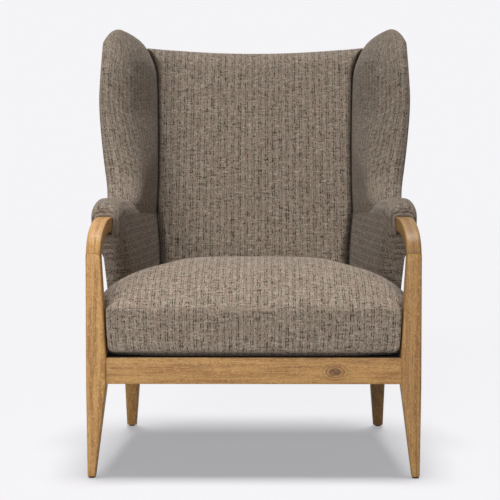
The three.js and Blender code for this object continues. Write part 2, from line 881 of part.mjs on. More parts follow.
// Webbing straps lie on the front faces of the two cross rails
const strap_front_y = (z) => back_rail_front_y(z) - fit_gap - webbing_thickness;

function back_strap(centre) {
  const low = lower_rail_high - back_strap_lap;
  const high = top_rail_low + back_strap_lap;
  const edge = (side) => () => centre + side * back_strap_width / 2;
  return raked_board(edge(-1), edge(1), low, high, strap_front_y, webbing_thickness, 0);
}

// Inside back: u across, v up, w from the rear (-1) to the front (1)
function back_pad_form() {
  const open_high = wing_ridge_height - wing_rear_drop;
  const open_low = open_high - wing_inner_drop;
  return formed_block(back_width_shares, back_level_shares, back_roll_shares, (u, v, w) => {
    const drop = (w > 0 ? back_front_drop : back_rear_drop) * round_drop(w);
    const top = back_top_middle + back_top_rise * u * u - drop;
    const z = mix(back_pad_bottom, top, v);
    const roll = share_of(back_pad_bottom + back_bottom_roll_height - z, 0, back_bottom_roll_height);
    const edge_round = back_edge_round * Math.pow(u, back_edge_power);
    const front = back_face_y(z) + back_bottom_roll * round_drop(roll) + edge_round;
    const rear = post_rear_y(z) - fit_gap;
    const open = back_open_share * side_thickness(z) * round_drop(share_of(z, open_low, open_high));
    const edge = corner_x(z) + open - 2 * fit_gap;
    return point(u * edge, mix(rear, front, (w + 1) / 2), z);
  });
}

// The space behind the pad that the rails, posts and straps take
const hollow_levels = [back_pad_bottom - cut_overrun, knee_height, top_rail_high + fit_gap];
const back_hollow = formed_block([-1, 1], hollow_levels, [0, 1], (side, z, w) =>
  point(side * chair_width, mix(strap_front_y(z) - fit_gap, post_rear_y(z) + cut_overrun, w), z));

// Outside back: level 0 is its lower edge, 1 the knee of the posts, 2 its rounded upper edge
const outside_back = formed_block(outside_corner_shares, [0, 1, 2], [0, 1], (u, v, w) => {
  const corner = wing_outer_drop * round_drop(share_of(Math.abs(u), outside_corner_shares.at(-3), 1));
  const top = back_top_middle - outside_back_drop + back_top_rise * u * u - corner;
  const z = [rail_top + outside_back_rise, knee_height, top][v];
  return point(u * rear_outer_x(z), post_rear_y(z) + fit_gap + outside_back_thickness * w, z);
});

// Seat webbing, deck and dust cover

const web_low = rebate_floor;
const web_high = web_low + webbing_thickness;
const web_front = front_rail_rear - rebate_width + fit_gap;
const web_rear = rear_rail_y + rebate_width - fit_gap;

function seat_webbing() {
  const straps = [];
  const front_x = post_face_x - block_leg;
  for (const share of spread(-1, 1, long_strap_count - 1)) {
    const x = share * front_x;
    straps.push(box(
      point(x - webbing_width / 2, web_front, web_low),
      point(x + webbing_width / 2, web_rear, web_high),
    ));
  }
  const first = web_front + block_leg + webbing_width;
  for (const y of spread(first, post_rail_y - block_leg, cross_strap_count - 1)) {
    straps.push(formed_block([0, 1], [0, 1], [0, 1], (u, v, w) => {
      const along_y = y + webbing_width * (v - 0.5);
      const edge = side_rail_inner_x(along_y) + rebate_width - fit_gap;
      return point(mix(-edge, edge, u), along_y, mix(web_low, web_high, w));
    }));
  }
  return joined(...straps);
}

const deck_low = web_high + fit_gap;
const deck_high = deck_low + deck_thickness;

function seat_deck() {
  const front = front_rail_rear + deck_margin;
  const rear = rear_rail_y - deck_margin;
  const past_leg = leg_rail_depth + deck_margin;
  const before_post = post_rail_y - deck_margin;
  const edges = [
    [front, leg_face_x],
    [past_leg, leg_face_x],
    [past_leg + deck_margin, side_rail_inner_x(past_leg)],
    [before_post - deck_margin, side_rail_inner_x(before_post)],
    [before_post, post_face_x],
    [rear, post_face_x],
  ];
  return formed_block([-1, 1], edges, [0, 1], (side, [y, edge], w) =>
    point(side * (edge - deck_margin), y, mix(deck_low, deck_high, w)));
}

function dust_cover() {
  const high = rail_bottom - fit_gap;
  const sheet = formed_block([-1, 1], [0, 1], [0, 1], (u, v, w) => {
    const y = mix(front_rail_front + dust_cover_inset, rear_rail_rear - dust_cover_inset, v);
    return point(u * (side_rail_outer_x(y) - dust_cover_inset), y, mix(high - cloth_thickness, high, w));
  });
  const leg = front_leg_form(2 * fit_gap);
  const post = post_form(2 * fit_gap);
  return cut(sheet, leg, mirrored(leg), post, mirrored(post));
}

// Seat cushion

const cushion_top_seam = cushion_bottom_seam + cushion_boxing;

// Half the cushion's width: between the legs in front, between the side pads behind
function cushion_half_width(y, z) {
  const front = Math.min(cushion_front_width / 2, leg_inner_x(cushion_bottom_seam) - cushion_leg_clearance);
  const pad_front = side_edge_y(cushion_top_seam);
  const behind = inner_x(y, z) - cushion_side_clearance;
  const share = share_of(y, leg_rail_depth * 2, pad_front);
  const eased = share * share * (3 - 2 * share);
  return mix(front, Math.min(front, behind), eased);
}

// u across, v from front (-1) to back (1), w from the bottom seam (0) to the top seam (1)
function cushion_place(u, v, w, wall) {
  const boxing = cushion_boxing_bulge * (Math.sin(Math.PI * w) - 1) - wall;
  const square = 1 - cushion_corner_share * Math.pow(Math.abs(u * v), cushion_corner_power);
  const y = (cushion_front_y + cushion_rear_y) / 2 + v * square * (cushion_depth / 2 + boxing);
  const seam_z = mix(cushion_bottom_seam + wall, cushion_top_seam - wall, w);
  const x = u * square * (cushion_half_width(y, seam_z) + boxing);
  return point(x, y, seam_z + cushion_swell(u, v, w));
}

// How far the top panel rises over its seam, and the bottom panel sinks under its own
function cushion_swell(u, v, w) {
  if (w === 1) {
    const across = Math.sqrt(1 - Math.pow(Math.abs(u), cushion_across_power));
    const lengthways = Math.pow(1 - Math.pow(Math.abs(v), cushion_lengthways_power), cushion_shoulder_power);
    return cushion_crown * across * lengthways;
  }
  if (w === 0) {
    const across = 1 - Math.pow(Math.abs(u), cushion_sole_power);
    const lengthways = 1 - Math.pow(Math.abs(v), cushion_sole_power);
    return (cushion_flat - cushion_bottom_seam) * Math.min(1, cushion_sole_fullness * across * lengthways);
  }
  return 0;
}

const cushion_form = (wall) => formed_block(
  cushion_plan_shares, cushion_plan_shares, cushion_boxing_shares, (u, v, w) => cushion_place(u, v, w, wall),
);

const zip_height = cushion_bottom_seam + zip_rise;
const zip_face_y = cushion_place(0, 1, 0.5, 0).y;
const zip_slot = box(
  point(-zip_length / 2, zip_face_y - cushion_wall - cut_overrun, zip_height - zip_opening / 2),
  point(zip_length / 2, zip_face_y + cut_overrun, zip_height + zip_opening / 2),
);
const cushion_cover = cut(cushion_form(0), cushion_form(cushion_wall), zip_slot);
const cushion_core = cushion_form(cushion_wall + fit_gap);

const tape_front = zip_face_y - cushion_wall + fit_gap;
const tape_rear = tape_front + zip_tape_thickness;
const zip_tape = box(
  point(-zip_length / 2 + fit_gap, tape_front, zip_height - zip_opening / 2 + fit_gap),
  point(zip_length / 2 - fit_gap, tape_rear, zip_height + zip_opening / 2 - fit_gap),
);

// Slider: a plate on the zip with a bridge that holds the tab's crossbar
const slider_rear = slider_thickness;
const axis_rise = slider_rear + bridge_hole_height / 2;

function slider_form() {
  const plate = box(
    point(-slider_length / 2, 0, -slider_width / 2),
    point(slider_length / 2, slider_thickness, slider_width / 2),
  );
  const bridge = cut(
    box(
      point(-bridge_length / 2, slider_rear - slider_thickness / 2, -bridge_width / 2),
      point(bridge_length / 2, slider_rear + bridge_height, bridge_width / 2),
    ),
    box(
      point(-bridge_hole_length / 2, slider_rear, -bridge_width),
      point(bridge_hole_length / 2, slider_rear + bridge_hole_height, bridge_width),
    ),
  );
  return joined(plate, bridge);
}

// Tab: a plate with a window round the bridge; it lies flat towards -X at rest
function tab_form() {
  const bar = tab_thickness / 2;
  return cut(
    box(point(-tab_length, -bar, -tab_width / 2), point(bar, bar, tab_width / 2)),
    box(
      point(-bar - tab_window_length, -tab_thickness, -tab_window_width / 2),
      point(-bar, tab_thickness, tab_window_width / 2),
    ),
  );
}

// Pieces of the right side, cut by their neighbours

const arm_tenon_centre = point(
  half_width - leg_joint_width / 2,
  leg_joint_depth / 2,
  leg_joint_height,
);

function arm_tenon(grow) {
  const half = point(arm_tenon_width / 2 + grow, arm_tenon_depth / 2 + grow, arm_tenon_length / 2 + grow);
  return box(arm_tenon_centre.clone().sub(half), arm_tenon_centre.clone().add(half));
}

const arm_middle_z = (arm_top_height + arm_underside) / 2;
const arm_end_y = post_front_y(arm_middle_z) + tenon_length;
const arm_end_centre_x = arm_outer_x(arm_end_y) - arm_rear_width / 2;

function arm_end_tenon(grow) {
  const half = tenon_thickness / 2 + grow;
  const start = post_front_y(arm_middle_z) - (grow ? cut_overrun : tenon_length);
  return box(
    point(arm_end_centre_x - half, start, arm_middle_z - half),
    point(arm_end_centre_x + half, arm_end_y + grow, arm_middle_z + half),
  );
}

const screws = {};
const blocks = {};
for (const [name, corner] of Object.entries(block_corners)) {
  screws[name] = [placed_screw(corner, true, 0), placed_screw(corner, false, 0)];
  blocks[name] = cut(
    corner_block(corner.x, corner.y, corner.way),
    placed_screw(corner, true, fit_gap),
    placed_screw(corner, false, fit_gap),
  );
}

const screw_holes = Object.values(block_corners).map((corner) => placed_screw(corner, true, fit_gap));
const front_holes = placed_screw(block_corners.front, false, fit_gap);
const rear_holes = placed_screw(block_corners.rear, false, fit_gap);

const front_leg = cut(
  front_leg_form(0), front_tenon(fit_gap), side_front_tenon(fit_gap), arm_tenon(fit_gap),
  glide_bore(foot_centre_x, front_foot_y), ...screw_holes,
);
const back_post = cut(
  post_form(0), rear_tenon(fit_gap), side_rear_tenon(fit_gap), arm_end_tenon(fit_gap),
  glide_bore(rear_foot_x, rear_foot_y), ...screw_holes,
);
const arm = cut(
  joined(cut(arm_form(arm_end_y, 0), post_grown), arm_end_tenon(0)),
  arm_tenon(fit_gap),
);
const arm_grown = arm_form(post_rear_y(arm_top_height) + cut_overrun, fit_gap);
const board_grown = wing_board_form(fit_gap);
const top_rail_grown = back_rail(top_rail_low, top_rail_high, fit_gap);
const lower_rail_grown = back_rail(lower_rail_low, lower_rail_high, fit_gap);

const side_pad = cut(side_pad_form(), post_grown, lower_rail_grown, side_panel_form(fit_gap));
const arm_pad = cut(arm_pad_form(post_rear_y(arm_pad_bottom) - fit_gap), arm_grown, post_grown, board_grown);
const wing_pad = cut(wing_form(0), board_grown, post_grown, top_rail_grown, wing_panel_form(fit_gap));
const wing_grown = wing_form(fit_gap);
const back_pad = cut(back_pad_form(), back_hollow, wing_grown, mirrored(wing_grown));
const wing_board = wing_board_form(0);

// Materials

const oak = { color: 0xb98a58, roughness: 0.5, metalness: 0 };
const beech = { color: 0xcfae7e, roughness: 0.7, metalness: 0 };
const tweed = { color: 0x8a7b6f, roughness: 0.95, metalness: 0 };
const webbing = { color: 0x2a2725, roughness: 0.9, metalness: 0 };
const black_cloth = { color: 0x171615, roughness: 0.95, metalness: 0 };
const foam = { color: 0xe9dfc4, roughness: 1, metalness: 0 };
const glide_plastic = { color: 0x3a211a, roughness: 0.5, metalness: 0 };
const steel = { color: 0x9b9b98, roughness: 0.35, metalness: 1 };
const zip_cloth = { color: 0x6f635a, roughness: 0.9, metalness: 0 };

const chair = new THREE.Group();

function add(name, geometry, look, parent = chair) {
  const ready = closed(geometry);
  ready.computeVertexNormals();
  const mesh = new THREE.Mesh(ready, new THREE.MeshStandardMaterial(look));
  mesh.name = name;
  parent.add(mesh);
  return mesh;
}

function add_pair(name, geometry, look) {
  add(`${name}_right`, geometry, look);
  add(`${name}_left`, mirrored(geometry), look);
}

add_pair("front_leg", front_leg, oak);
add_pair("arm", arm, oak);
add_pair("arm_tenon", arm_tenon(0), oak);
add_pair("back_post", back_post, oak);
add("front_rail", cut(front_rail, front_holes, mirrored(front_holes)), oak);
add_pair("side_rail", cut(side_rail, ...screw_holes), oak);
add("rear_rail", cut(rear_rail, rear_holes, mirrored(rear_holes)), oak);

for (const name of Object.keys(block_corners)) {
  add_pair(`corner_block_${name}`, blocks[name], beech);
  add_pair(`block_screw_${name}_side`, closed(screws[name][0]), steel);
  add_pair(`block_screw_${name}_end`, closed(screws[name][1]), steel);
}

for (const [name, x, y] of [["front", foot_centre_x, front_foot_y], ["rear", rear_foot_x, rear_foot_y]]) {
  for (const [side, way] of [["right", 1], ["left", -1]]) {
    add(`glide_${name}_${side}`, glide_form(), glide_plastic).position.set(way * x, y, 0);
  }
}

add("back_top_rail", back_rail(top_rail_low, top_rail_high, 0), beech);
add("back_lower_rail", back_rail(lower_rail_low, lower_rail_high, 0), beech);
spread(-back_strap_spread / 2, back_strap_spread / 2, 3).forEach((centre, i) => {
  add(`back_strap_${i + 1}`, back_strap(centre), webbing);
});
add_pair("wing_board", wing_board, beech);
add("back_pad", back_pad, tweed);
add_pair("side_pad", side_pad, tweed);
add_pair("arm_pad", arm_pad, tweed);
add_pair("wing_pad", wing_pad, tweed);
add_pair("outside_side", side_panel_form(0), tweed);
add_pair("outside_wing", wing_panel_form(0), tweed);
add("outside_back", outside_back, tweed);
add("seat_webbing", seat_webbing(), webbing);
add("seat_deck", seat_deck(), black_cloth);
add("dust_cover", dust_cover(), black_cloth);

add("seat_cushion_cover", cushion_cover, tweed);
add("seat_cushion_core", cushion_core, foam);
add("zip_tape", zip_tape, zip_cloth);

const zip = new THREE.Group();
zip.position.set(-slider_place, tape_rear + fit_gap, zip_height);
add("zip_slider", slider_form(), steel, zip);
add("zip_tab", tab_form(), steel, zip).position.set(0, axis_rise, 0);
chair.add(zip);

// Put the origin on the floor, under the middle of the chair's depth
const extent = new THREE.Box3().setFromObject(chair);
chair.position.y = -(extent.min.y + extent.max.y) / 2;

export default chair;
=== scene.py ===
import math

import bmesh
import bpy
import numpy as np
from bpy.props import FloatProperty, FloatVectorProperty, PointerProperty
from bpy.types import Operator, Panel, PropertyGroup
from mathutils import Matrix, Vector


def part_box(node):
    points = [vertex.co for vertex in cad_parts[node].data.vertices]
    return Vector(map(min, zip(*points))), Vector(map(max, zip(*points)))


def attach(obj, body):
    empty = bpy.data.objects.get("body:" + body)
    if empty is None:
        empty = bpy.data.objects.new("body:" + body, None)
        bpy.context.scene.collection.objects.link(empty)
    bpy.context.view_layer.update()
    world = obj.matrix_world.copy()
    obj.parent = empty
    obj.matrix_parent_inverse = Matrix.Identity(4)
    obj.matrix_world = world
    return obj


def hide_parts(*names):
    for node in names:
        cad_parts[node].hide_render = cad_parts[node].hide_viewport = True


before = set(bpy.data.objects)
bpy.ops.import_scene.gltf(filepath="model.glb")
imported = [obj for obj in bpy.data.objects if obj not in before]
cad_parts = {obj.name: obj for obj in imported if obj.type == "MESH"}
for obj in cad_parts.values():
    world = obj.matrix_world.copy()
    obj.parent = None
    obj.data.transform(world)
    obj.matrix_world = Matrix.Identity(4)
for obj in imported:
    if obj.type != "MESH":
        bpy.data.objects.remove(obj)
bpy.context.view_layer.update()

bl_info = {
    "name": "Fireside chair",
    "version": (1, 0, 0),
    "blender": (4, 5, 0),
    "location": "3D View > Sidebar > Chair",
    "description": "Builds a wing fireside chair over its solid frame",
    "category": "Object",
}

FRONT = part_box("front_leg_right")[0][1]
SIDES = (("right", 1), ("left", -1))
BOTH_FACES = np.array([0.0, 1.0])
MERGE = 2e-6  # points nearer than this become one
FIT_GAP = 0.0003  # room between pieces that lie against each other


# Sizes and colours that a user would change


def size_prop(label, words, default):
    return FloatProperty(name=label, description=words, default=default, unit="LENGTH", min=0.0)


def colour_prop(label, words, default):
    return FloatVectorProperty(
        name=label, description=words, default=default, subtype="COLOR", min=0.0, max=1.0)


class ChairSizes(PropertyGroup):
    leg_edge: size_prop("Leg edge", "Radius of the legs' long edges", 0.0055)
    arm_edge: size_prop("Arm edge", "Radius of the arms' long edges", 0.0045)
    rail_edge: size_prop("Rail edge", "Radius of the rails' edges", 0.0018)
    back_pitch: size_prop("Back weave", "Width of the tweed's repeat on the back and wings", 0.0183)
    seat_pitch: size_prop("Seat weave", "Width of the tweed's repeat on the seat cushion", 0.0158)
    crown: size_prop("Crown", "Rise of the seat cushion over its top seam", 0.105)
    plump: size_prop("Plump", "How far the seat cushion's cloth may swell", 0.006)
    pad_plump: size_prop("Pad plump", "How far the back's and wings' cloth may swell", 0.004)
    welt: size_prop("Seam roll", "Radius of the roll along the cushion's seams", 0.0012)


class ChairColours(PropertyGroup):
    tweed_ground: colour_prop("Tweed", "The tweed's ground", (0.228, 0.186, 0.141))
    tweed_warm: colour_prop("Tweed, warm", "The tweed's pinkish yarns", (0.252, 0.186, 0.146))
    tweed_dark: colour_prop("Tweed, dark", "The tweed's dark brown dashes", (0.035, 0.024, 0.018))
    tweed_light: colour_prop("Tweed, light", "The tweed's light yarns", (0.385, 0.332, 0.266))
    oak_mid: colour_prop("Oak", "The oak's main colour", (0.46, 0.228, 0.062))
    oak_dark: colour_prop("Oak, dark", "The oak's dark streaks", (0.24, 0.104, 0.025))
    oak_light: colour_prop("Oak, light", "The oak's light streaks", (0.585, 0.322, 0.1))
    oak_fleck: colour_prop("Oak, flecks", "The oak's pale flecks", (0.7, 0.45, 0.2))
    oak_pore: colour_prop("Oak, pores", "The oak's pores", (0.12, 0.052, 0.016))
    beech: colour_prop("Beech", "The hidden frame's beech", (0.56, 0.38, 0.2))
    black_cloth: colour_prop("Black cloth", "Deck and dust cover", (0.012, 0.011, 0.011))
    glide: colour_prop("Glides", "The glides' dark brown", (0.045, 0.014, 0.01))
    foam: colour_prop("Foam", "The cushion's foam", (0.78, 0.7, 0.5))
    metal: colour_prop("Metal", "Zip slider and screws", (0.42, 0.40, 0.36))
    zip_cloth: colour_prop("Zip cloth", "The zip's tape", (0.17, 0.13, 0.11))
    webbing: colour_prop("Webbing", "Seat and back straps", (0.03, 0.026, 0.022))
    backdrop: colour_prop("Backdrop", "Pale background", (0.913, 0.905, 0.93))
    floor: colour_prop("Floor", "The floor under the lamps", (0.56, 0.558, 0.566))
    floor_glow: colour_prop("Floor glow", "What the seen floor adds", (0.334, 0.332, 0.344))
    room_light: colour_prop("Room light", "Light from all round", (0.036, 0.036, 0.038))


def sizes():
    return bpy.context.scene.chair_sizes


def colours():
    return bpy.context.scene.chair_colours


# Formulas shared by the pieces


def share(value, low, high):
    """0 at low, 1 at high, in a straight line between and level outside."""
    return np.clip((value - low) / (high - low), 0.0, 1.0)


def ease(value):
    """The share with level ends: three times its square less twice its cube."""
    return value * value * (3.0 - 2.0 * value)


def mix(first, last, at):
    """first where at is 0 and last where it is 1, in a straight line."""
    return first + (last - first) * at


def round_drop(w):
    """How far a quarter circle of radius 1 has dropped at w."""
    return 1.0 - np.sqrt(np.clip(1.0 - w * w, 0.0, None))


def bell(value, middle, width):
    """A bell: e to the minus square of the distance over the width."""
    return np.exp(-((value - middle) / width) ** 2)


def straight(knots, values):
    """Straight lines through the pairs, going on past both ends."""
    k, v = np.asarray(knots, float), np.asarray(values, float)

    def at(x):
        i = np.clip(np.searchsorted(k, x) - 1, 0, len(k) - 2)
        return v[i] + (x - k[i]) * (v[i + 1] - v[i]) / (k[i + 1] - k[i])

    return at


def flowing(knots, values):
    """Cubic pieces through the pairs; each knot's slope is the mean of its two chords."""
    k, v = np.asarray(knots, float), np.asarray(values, float)
    chord = np.diff(v) / np.diff(k)
    slope = np.concatenate([chord[:1], (chord[:-1] + chord[1:]) / 2.0, chord[-1:]])

    def at(x):
        x = np.clip(x, k[0], k[-1])
        i = np.clip(np.searchsorted(k, x) - 1, 0, len(k) - 2)
        h = k[i + 1] - k[i]
        t = (x - k[i]) / h
        return ((1 + 2 * t) * (1 - t) ** 2 * v[i] + t * (1 - t) ** 2 * h * slope[i]
                + t * t * (3 - 2 * t) * v[i + 1] + t * t * (t - 1) * h * slope[i + 1])

    return at


# Half the width over the front legs, and the frame's levels: feet, rails, the joint of leg and
# arm, the arm's underside and top, the post's bend and top
HALF = 0.3725
FOOT, RAIL_LOW, RAIL_HIGH = 0.004, 0.21, 0.269
LEG_TOP, ARM_LOW, ARM_TOP = 0.4994, 0.547, 0.58
POST_BEND, POST_TOP = 0.33, 1.02
POST_LEVELS = (FOOT, RAIL_LOW, RAIL_HIGH, POST_BEND, POST_TOP)
post_front = straight(POST_LEVELS, (0.726, 0.63583, 0.622, 0.62608, 0.808))
post_depth = straight(POST_LEVELS, (0.026, 0.05, 0.05, 0.04854, 0.032))
post_inset = straight(POST_LEVELS, (0.02, 0.0195, 0.0195, 0.0208, 0.0355))
post_width = straight(POST_LEVELS, (0.026, 0.047, 0.047, 0.04619, 0.037))


def post_rear(z):
    return post_front(z) + post_depth(z)


def cloth_rear(z):
    """Where the cloth ends at the back, just short of the post's rear face."""
    return post_rear(z) - FIT_GAP


def rear_outer(z):
    """Outer face of the cloth, 7 mm over the post's."""
    return HALF - post_inset(z) + 0.007


def back_face(z):
    """The inside back leans 3 in 10."""
    return 0.575 + 0.3 * (z - 0.45)


# Where the inner face of the sides bows outwards, most of all just over the arm
side_bow = straight((0.3, 0.4, 0.503, 0.548, 0.605, 0.676, 0.76, 0.863, 0.97, 1.04, 1.1),
                    (0.001, 0.002, 0.004, 0.0065, 0.0112, 0.008, 0.0055, 0.0045, 0.0048, 0.007,
                     0.007))


def side_thickness(z):
    """117 mm at the rails and 73 mm at the wings' top, less the bow."""
    return mix(0.117, 0.073, share(z, RAIL_HIGH, 1.075)) - side_bow(z)


def corner_x(z):
    """The inside corner between side and back."""
    return rear_outer(z) - side_thickness(z)


PAD_FRONT, PAD_TOP, PAD_BOTTOM = 0.165, 0.625, 0.538
SIDE_LEAN = 0.55
REAR_LINE = 0.61


def side_edge(z):
    """Front edge of the side below the sleeve: the lower, the further back."""
    return PAD_FRONT + SIDE_LEAN * (PAD_BOTTOM - FIT_GAP - z)


def inner_x(y, z):
    """Inner face of the sides: straight from the arm pad's front to the corner, then level."""
    return mix(0.3137, corner_x(z), share(y, PAD_FRONT, back_face(z)))


def arm_outer(y):
    """The arm's outer face, 20 mm further in at the rear line."""
    return HALF - 0.02 * share(y, 0.0, REAR_LINE)


ARM_BEND = 0.172
arm_width = straight((0.0, ARM_BEND, REAR_LINE), (0.0325, 0.036, 0.034))


# Meshes


def stacked(*axes):
    """Points from their coordinates, each of them a number or a grid."""
    return np.stack(np.broadcast_arrays(*axes), axis=-1)


def mesh_object(name, points, faces, uv=None, grain=None, body="chair_frame", nodes=(), slot=None,
                material=None, sharp=40.0, merge=True):
    """One closed object from points and faces; uv has a row for each face corner, and grain the
    wood's own coordinates for each point."""
    world = np.array(points, float).reshape(-1, 3)
    world[:, 1] += FRONT
    mesh = bpy.data.meshes.new(name)
    mesh.from_pydata(world.tolist(), [], [list(map(int, f)) for f in faces])
    if uv is not None:
        layer = mesh.uv_layers.new(name="cloth")
        layer.data.foreach_set("uv", np.asarray(uv, np.float32).ravel())
    if grain is not None:
        layer = mesh.attributes.new("grain", "FLOAT_VECTOR", "POINT")
        layer.data.foreach_set("vector", np.asarray(grain, np.float32).ravel())
    work = bmesh.new()
    work.from_mesh(mesh)
    if merge:
        bmesh.ops.remove_doubles(work, verts=work.verts, dist=MERGE)
        bmesh.ops.dissolve_degenerate(work, edges=work.edges, dist=MERGE)
    bmesh.ops.recalc_face_normals(work, faces=work.faces)
    work.to_mesh(mesh)
    work.free()
    mesh.polygons.foreach_set("use_smooth", np.ones(len(mesh.polygons), bool))
    if sharp:
        mesh.set_sharp_from_angle(angle=math.radians(sharp))
    obj = bpy.data.objects.new(name, mesh)
    bpy.context.scene.collection.objects.link(obj)
    if material:
        mesh.materials.append(material)
    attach(obj, body)
    if nodes:
        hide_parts(*nodes)
    return obj


def quads(n, m, wrap_u=False, wrap_v=False):
    """Corner indices of a grid's faces: into the wrapped points, and into the unwrapped grid."""
    i, j = np.meshgrid(np.arange(n - (not wrap_u)), np.arange(m - (not wrap_v)), indexing="ij")
    i, j = i.ravel(), j.ravel()
    corner = [(i, j), (i + 1, j), (i + 1, j + 1), (i, j + 1)]
    points = np.stack([(a % n) * m + (b % m) for a, b in corner], axis=1)
    grid = np.stack([a * (m + wrap_v) + b for a, b in corner], axis=1)
    return points, grid


def steps_along(points, axis):
    """Running length of a grid of points along one axis, starting from 0."""
    gaps = np.linalg.norm(np.diff(points, axis=axis), axis=-1)
    first = np.zeros_like(np.take(gaps, [0], axis))
    return np.concatenate([first, np.cumsum(gaps, axis)], axis)


def mirrored(points, way):
    """The same points on the other side of the chair when way is -1."""
    return points * np.array([way, 1.0, 1.0])


def rounded_loop(width, height, radii, steps=5, along=0):
    """A rectangle about the middle with quarter-circle corners, anticlockwise from the right;
    radii are those of the top right, top left, bottom left and bottom right corners, and along
    is the number of points on each straight side."""
    bends = []
    corners = ((1, 1), (-1, 1), (-1, -1), (1, -1))
    for k, ((right, up), radius) in enumerate(zip(corners, radii)):
        radius = np.minimum(radius, 0.48 * np.minimum(width, height))
        turn = (k + np.linspace(0.0, 1.0, steps + 1)) * math.pi / 2
        x = right * (width / 2 - radius)[..., None] + radius[..., None] * np.cos(turn)
        z = up * (height / 2 - radius)[..., None] + radius[..., None] * np.sin(turn)
        bends.append(stacked(x, z))
    at = np.linspace(0.0, 1.0, along + 2)[1:-1, None]
    loop = []
    for bend, after in zip(bends, bends[1:] + bends[:1]):
        loop += [bend, mix(bend[..., -1:, :], after[..., :1, :], at)]
    return np.concatenate(loop, axis=-2)


def tube(name, rings, uv=None, **rest):
    """A closed skin over rings of equal count, each end filled by one face."""
    n, m = rings.shape[:2]
    faces, grid = quads(n, m, wrap_v=True)
    if uv is not None:
        flat, last = uv.reshape(-1, 2), (n - 1) * (m + 1)
        uv = np.concatenate([flat[grid.ravel()], flat[:m], flat[last:last + m][::-1]])
    ends = [list(range(m)), list(range((n - 1) * m, n * m))[::-1]]
    return mesh_object(name, rings, faces.tolist() + ends, uv, **rest)


def block_faces(us, vs, ws):
    """The six faces of a block: the axis each lies across, which end it is, and its shares."""
    for axis, plain in ((0, (vs, ws)), (1, (us, ws)), (2, (us, vs))):
        for end in (0, 1):
            shares = list(np.meshgrid(*plain, indexing="ij"))
            shares.insert(axis, np.full_like(shares[0], (us, vs, ws)[axis][-end]))
            yield axis, end, shares


def block_object(name, counts, place, weave, **rest):
    """A block whose shares (u, v, w) are carried to their place by a formula; weave gives the
    cloth's own run across and along each of the six faces."""
    points, faces, uvs, start = [], [], [], 0
    for axis, end, shares in block_faces(*counts):
        spots = place(*shares)
        index, grid = quads(*spots.shape[:2])
        points.append(spots.reshape(-1, 3))
        faces.append(index + start)
        uvs.append(weave(axis, end, spots).reshape(-1, 2)[grid.ravel()])
        start += len(points[-1])
    return mesh_object(
        name, np.concatenate(points), np.concatenate(faces), np.concatenate(uvs), **rest)


def laid(*axes):
    """A weave whose run is two of the place's own coordinates."""
    return lambda axis, end, spots: spots[..., axes]


def even_picks(values, gap):
    """Those of the rising values that lie about one gap apart, with the first and the last."""
    count = max(4, int(round((values[-1] - values[0]) / gap)) + 1)
    wanted = np.linspace(values[0], values[-1], count)
    return np.unique(np.abs(values[None, :] - wanted[:, None]).argmin(axis=1))


def still(row, column):
    """No move at all."""
    return np.zeros(np.broadcast(row, column).shape + (3,))


def swollen(points, rows, columns, cap, pressure=4.0, frames=20):
    """How pressure moves a padded skin. The grid of points is laid out as cloth, sewn down along
    its four edges, and blown up with gravity off. Each point's move d is eased to
    cap * d / (cap + length of d). The answer is a function that joins the moves by cubic pieces
    over the grid's rows and columns."""
    if cap <= 0.0:
        return still
    n, m = points.shape[:2]
    mesh = bpy.data.meshes.new("swell")
    mesh.from_pydata(points.reshape(-1, 3).tolist(), [], quads(n, m)[0].tolist())
    sheet = bpy.data.objects.new("swell", mesh)
    scene = bpy.context.scene
    scene.collection.objects.link(sheet)
    edge = np.ones((n, m), bool)
    edge[1:-1, 1:-1] = False
    sheet.vertex_groups.new(name="sewn").add(np.nonzero(edge.ravel())[0].tolist(), 1.0, "REPLACE")
    cloth = sheet.modifiers.new("Cloth", "CLOTH")
    cloth.settings.vertex_group_mass = "sewn"
    cloth.settings.use_pressure = True
    cloth.settings.uniform_pressure_force = pressure
    cloth.settings.effector_weights.gravity = 0.0
    cloth.point_cache.frame_start, cloth.point_cache.frame_end = 1, frames
    for step in range(1, frames + 1):
        scene.frame_set(step)
    spots = np.empty(n * m * 3)
    graph = bpy.context.evaluated_depsgraph_get()
    sheet.evaluated_get(graph).data.vertices.foreach_get("co", spots)
    scene.frame_set(1)
    bpy.data.objects.remove(sheet)
    bpy.data.meshes.remove(mesh)
    move = spots.reshape(n, m, 3) - points
    move *= cap / (cap + np.linalg.norm(move, axis=-1, keepdims=True))

    def at(row, column):
        row, column = np.broadcast_arrays(row, column)
        down = np.stack([flowing(rows, unit)(row.ravel()) for unit in np.eye(n)], axis=1)
        over = np.stack([flowing(columns, unit)(column.ravel()) for unit in np.eye(m)], axis=1)
        moved = np.einsum("ak,kld,al->ad", down, move, over, optimize=True)
        return moved.reshape(row.shape + (3,))

    return at


def with_swell(place, rows, columns, cap):
    """The place formula with its face at w = 1 moved as swollen says for the grid of shares."""
    swell = swollen(place(rows[:, None], columns[None, :], np.ones((len(rows), len(columns)))),
                    rows, columns, cap)

    def swollen_place(u, v, w):
        return place(u, v, w) + np.where((w == 1.0)[..., None], swell(u, v), 0.0)

    return swollen_place


# Materials


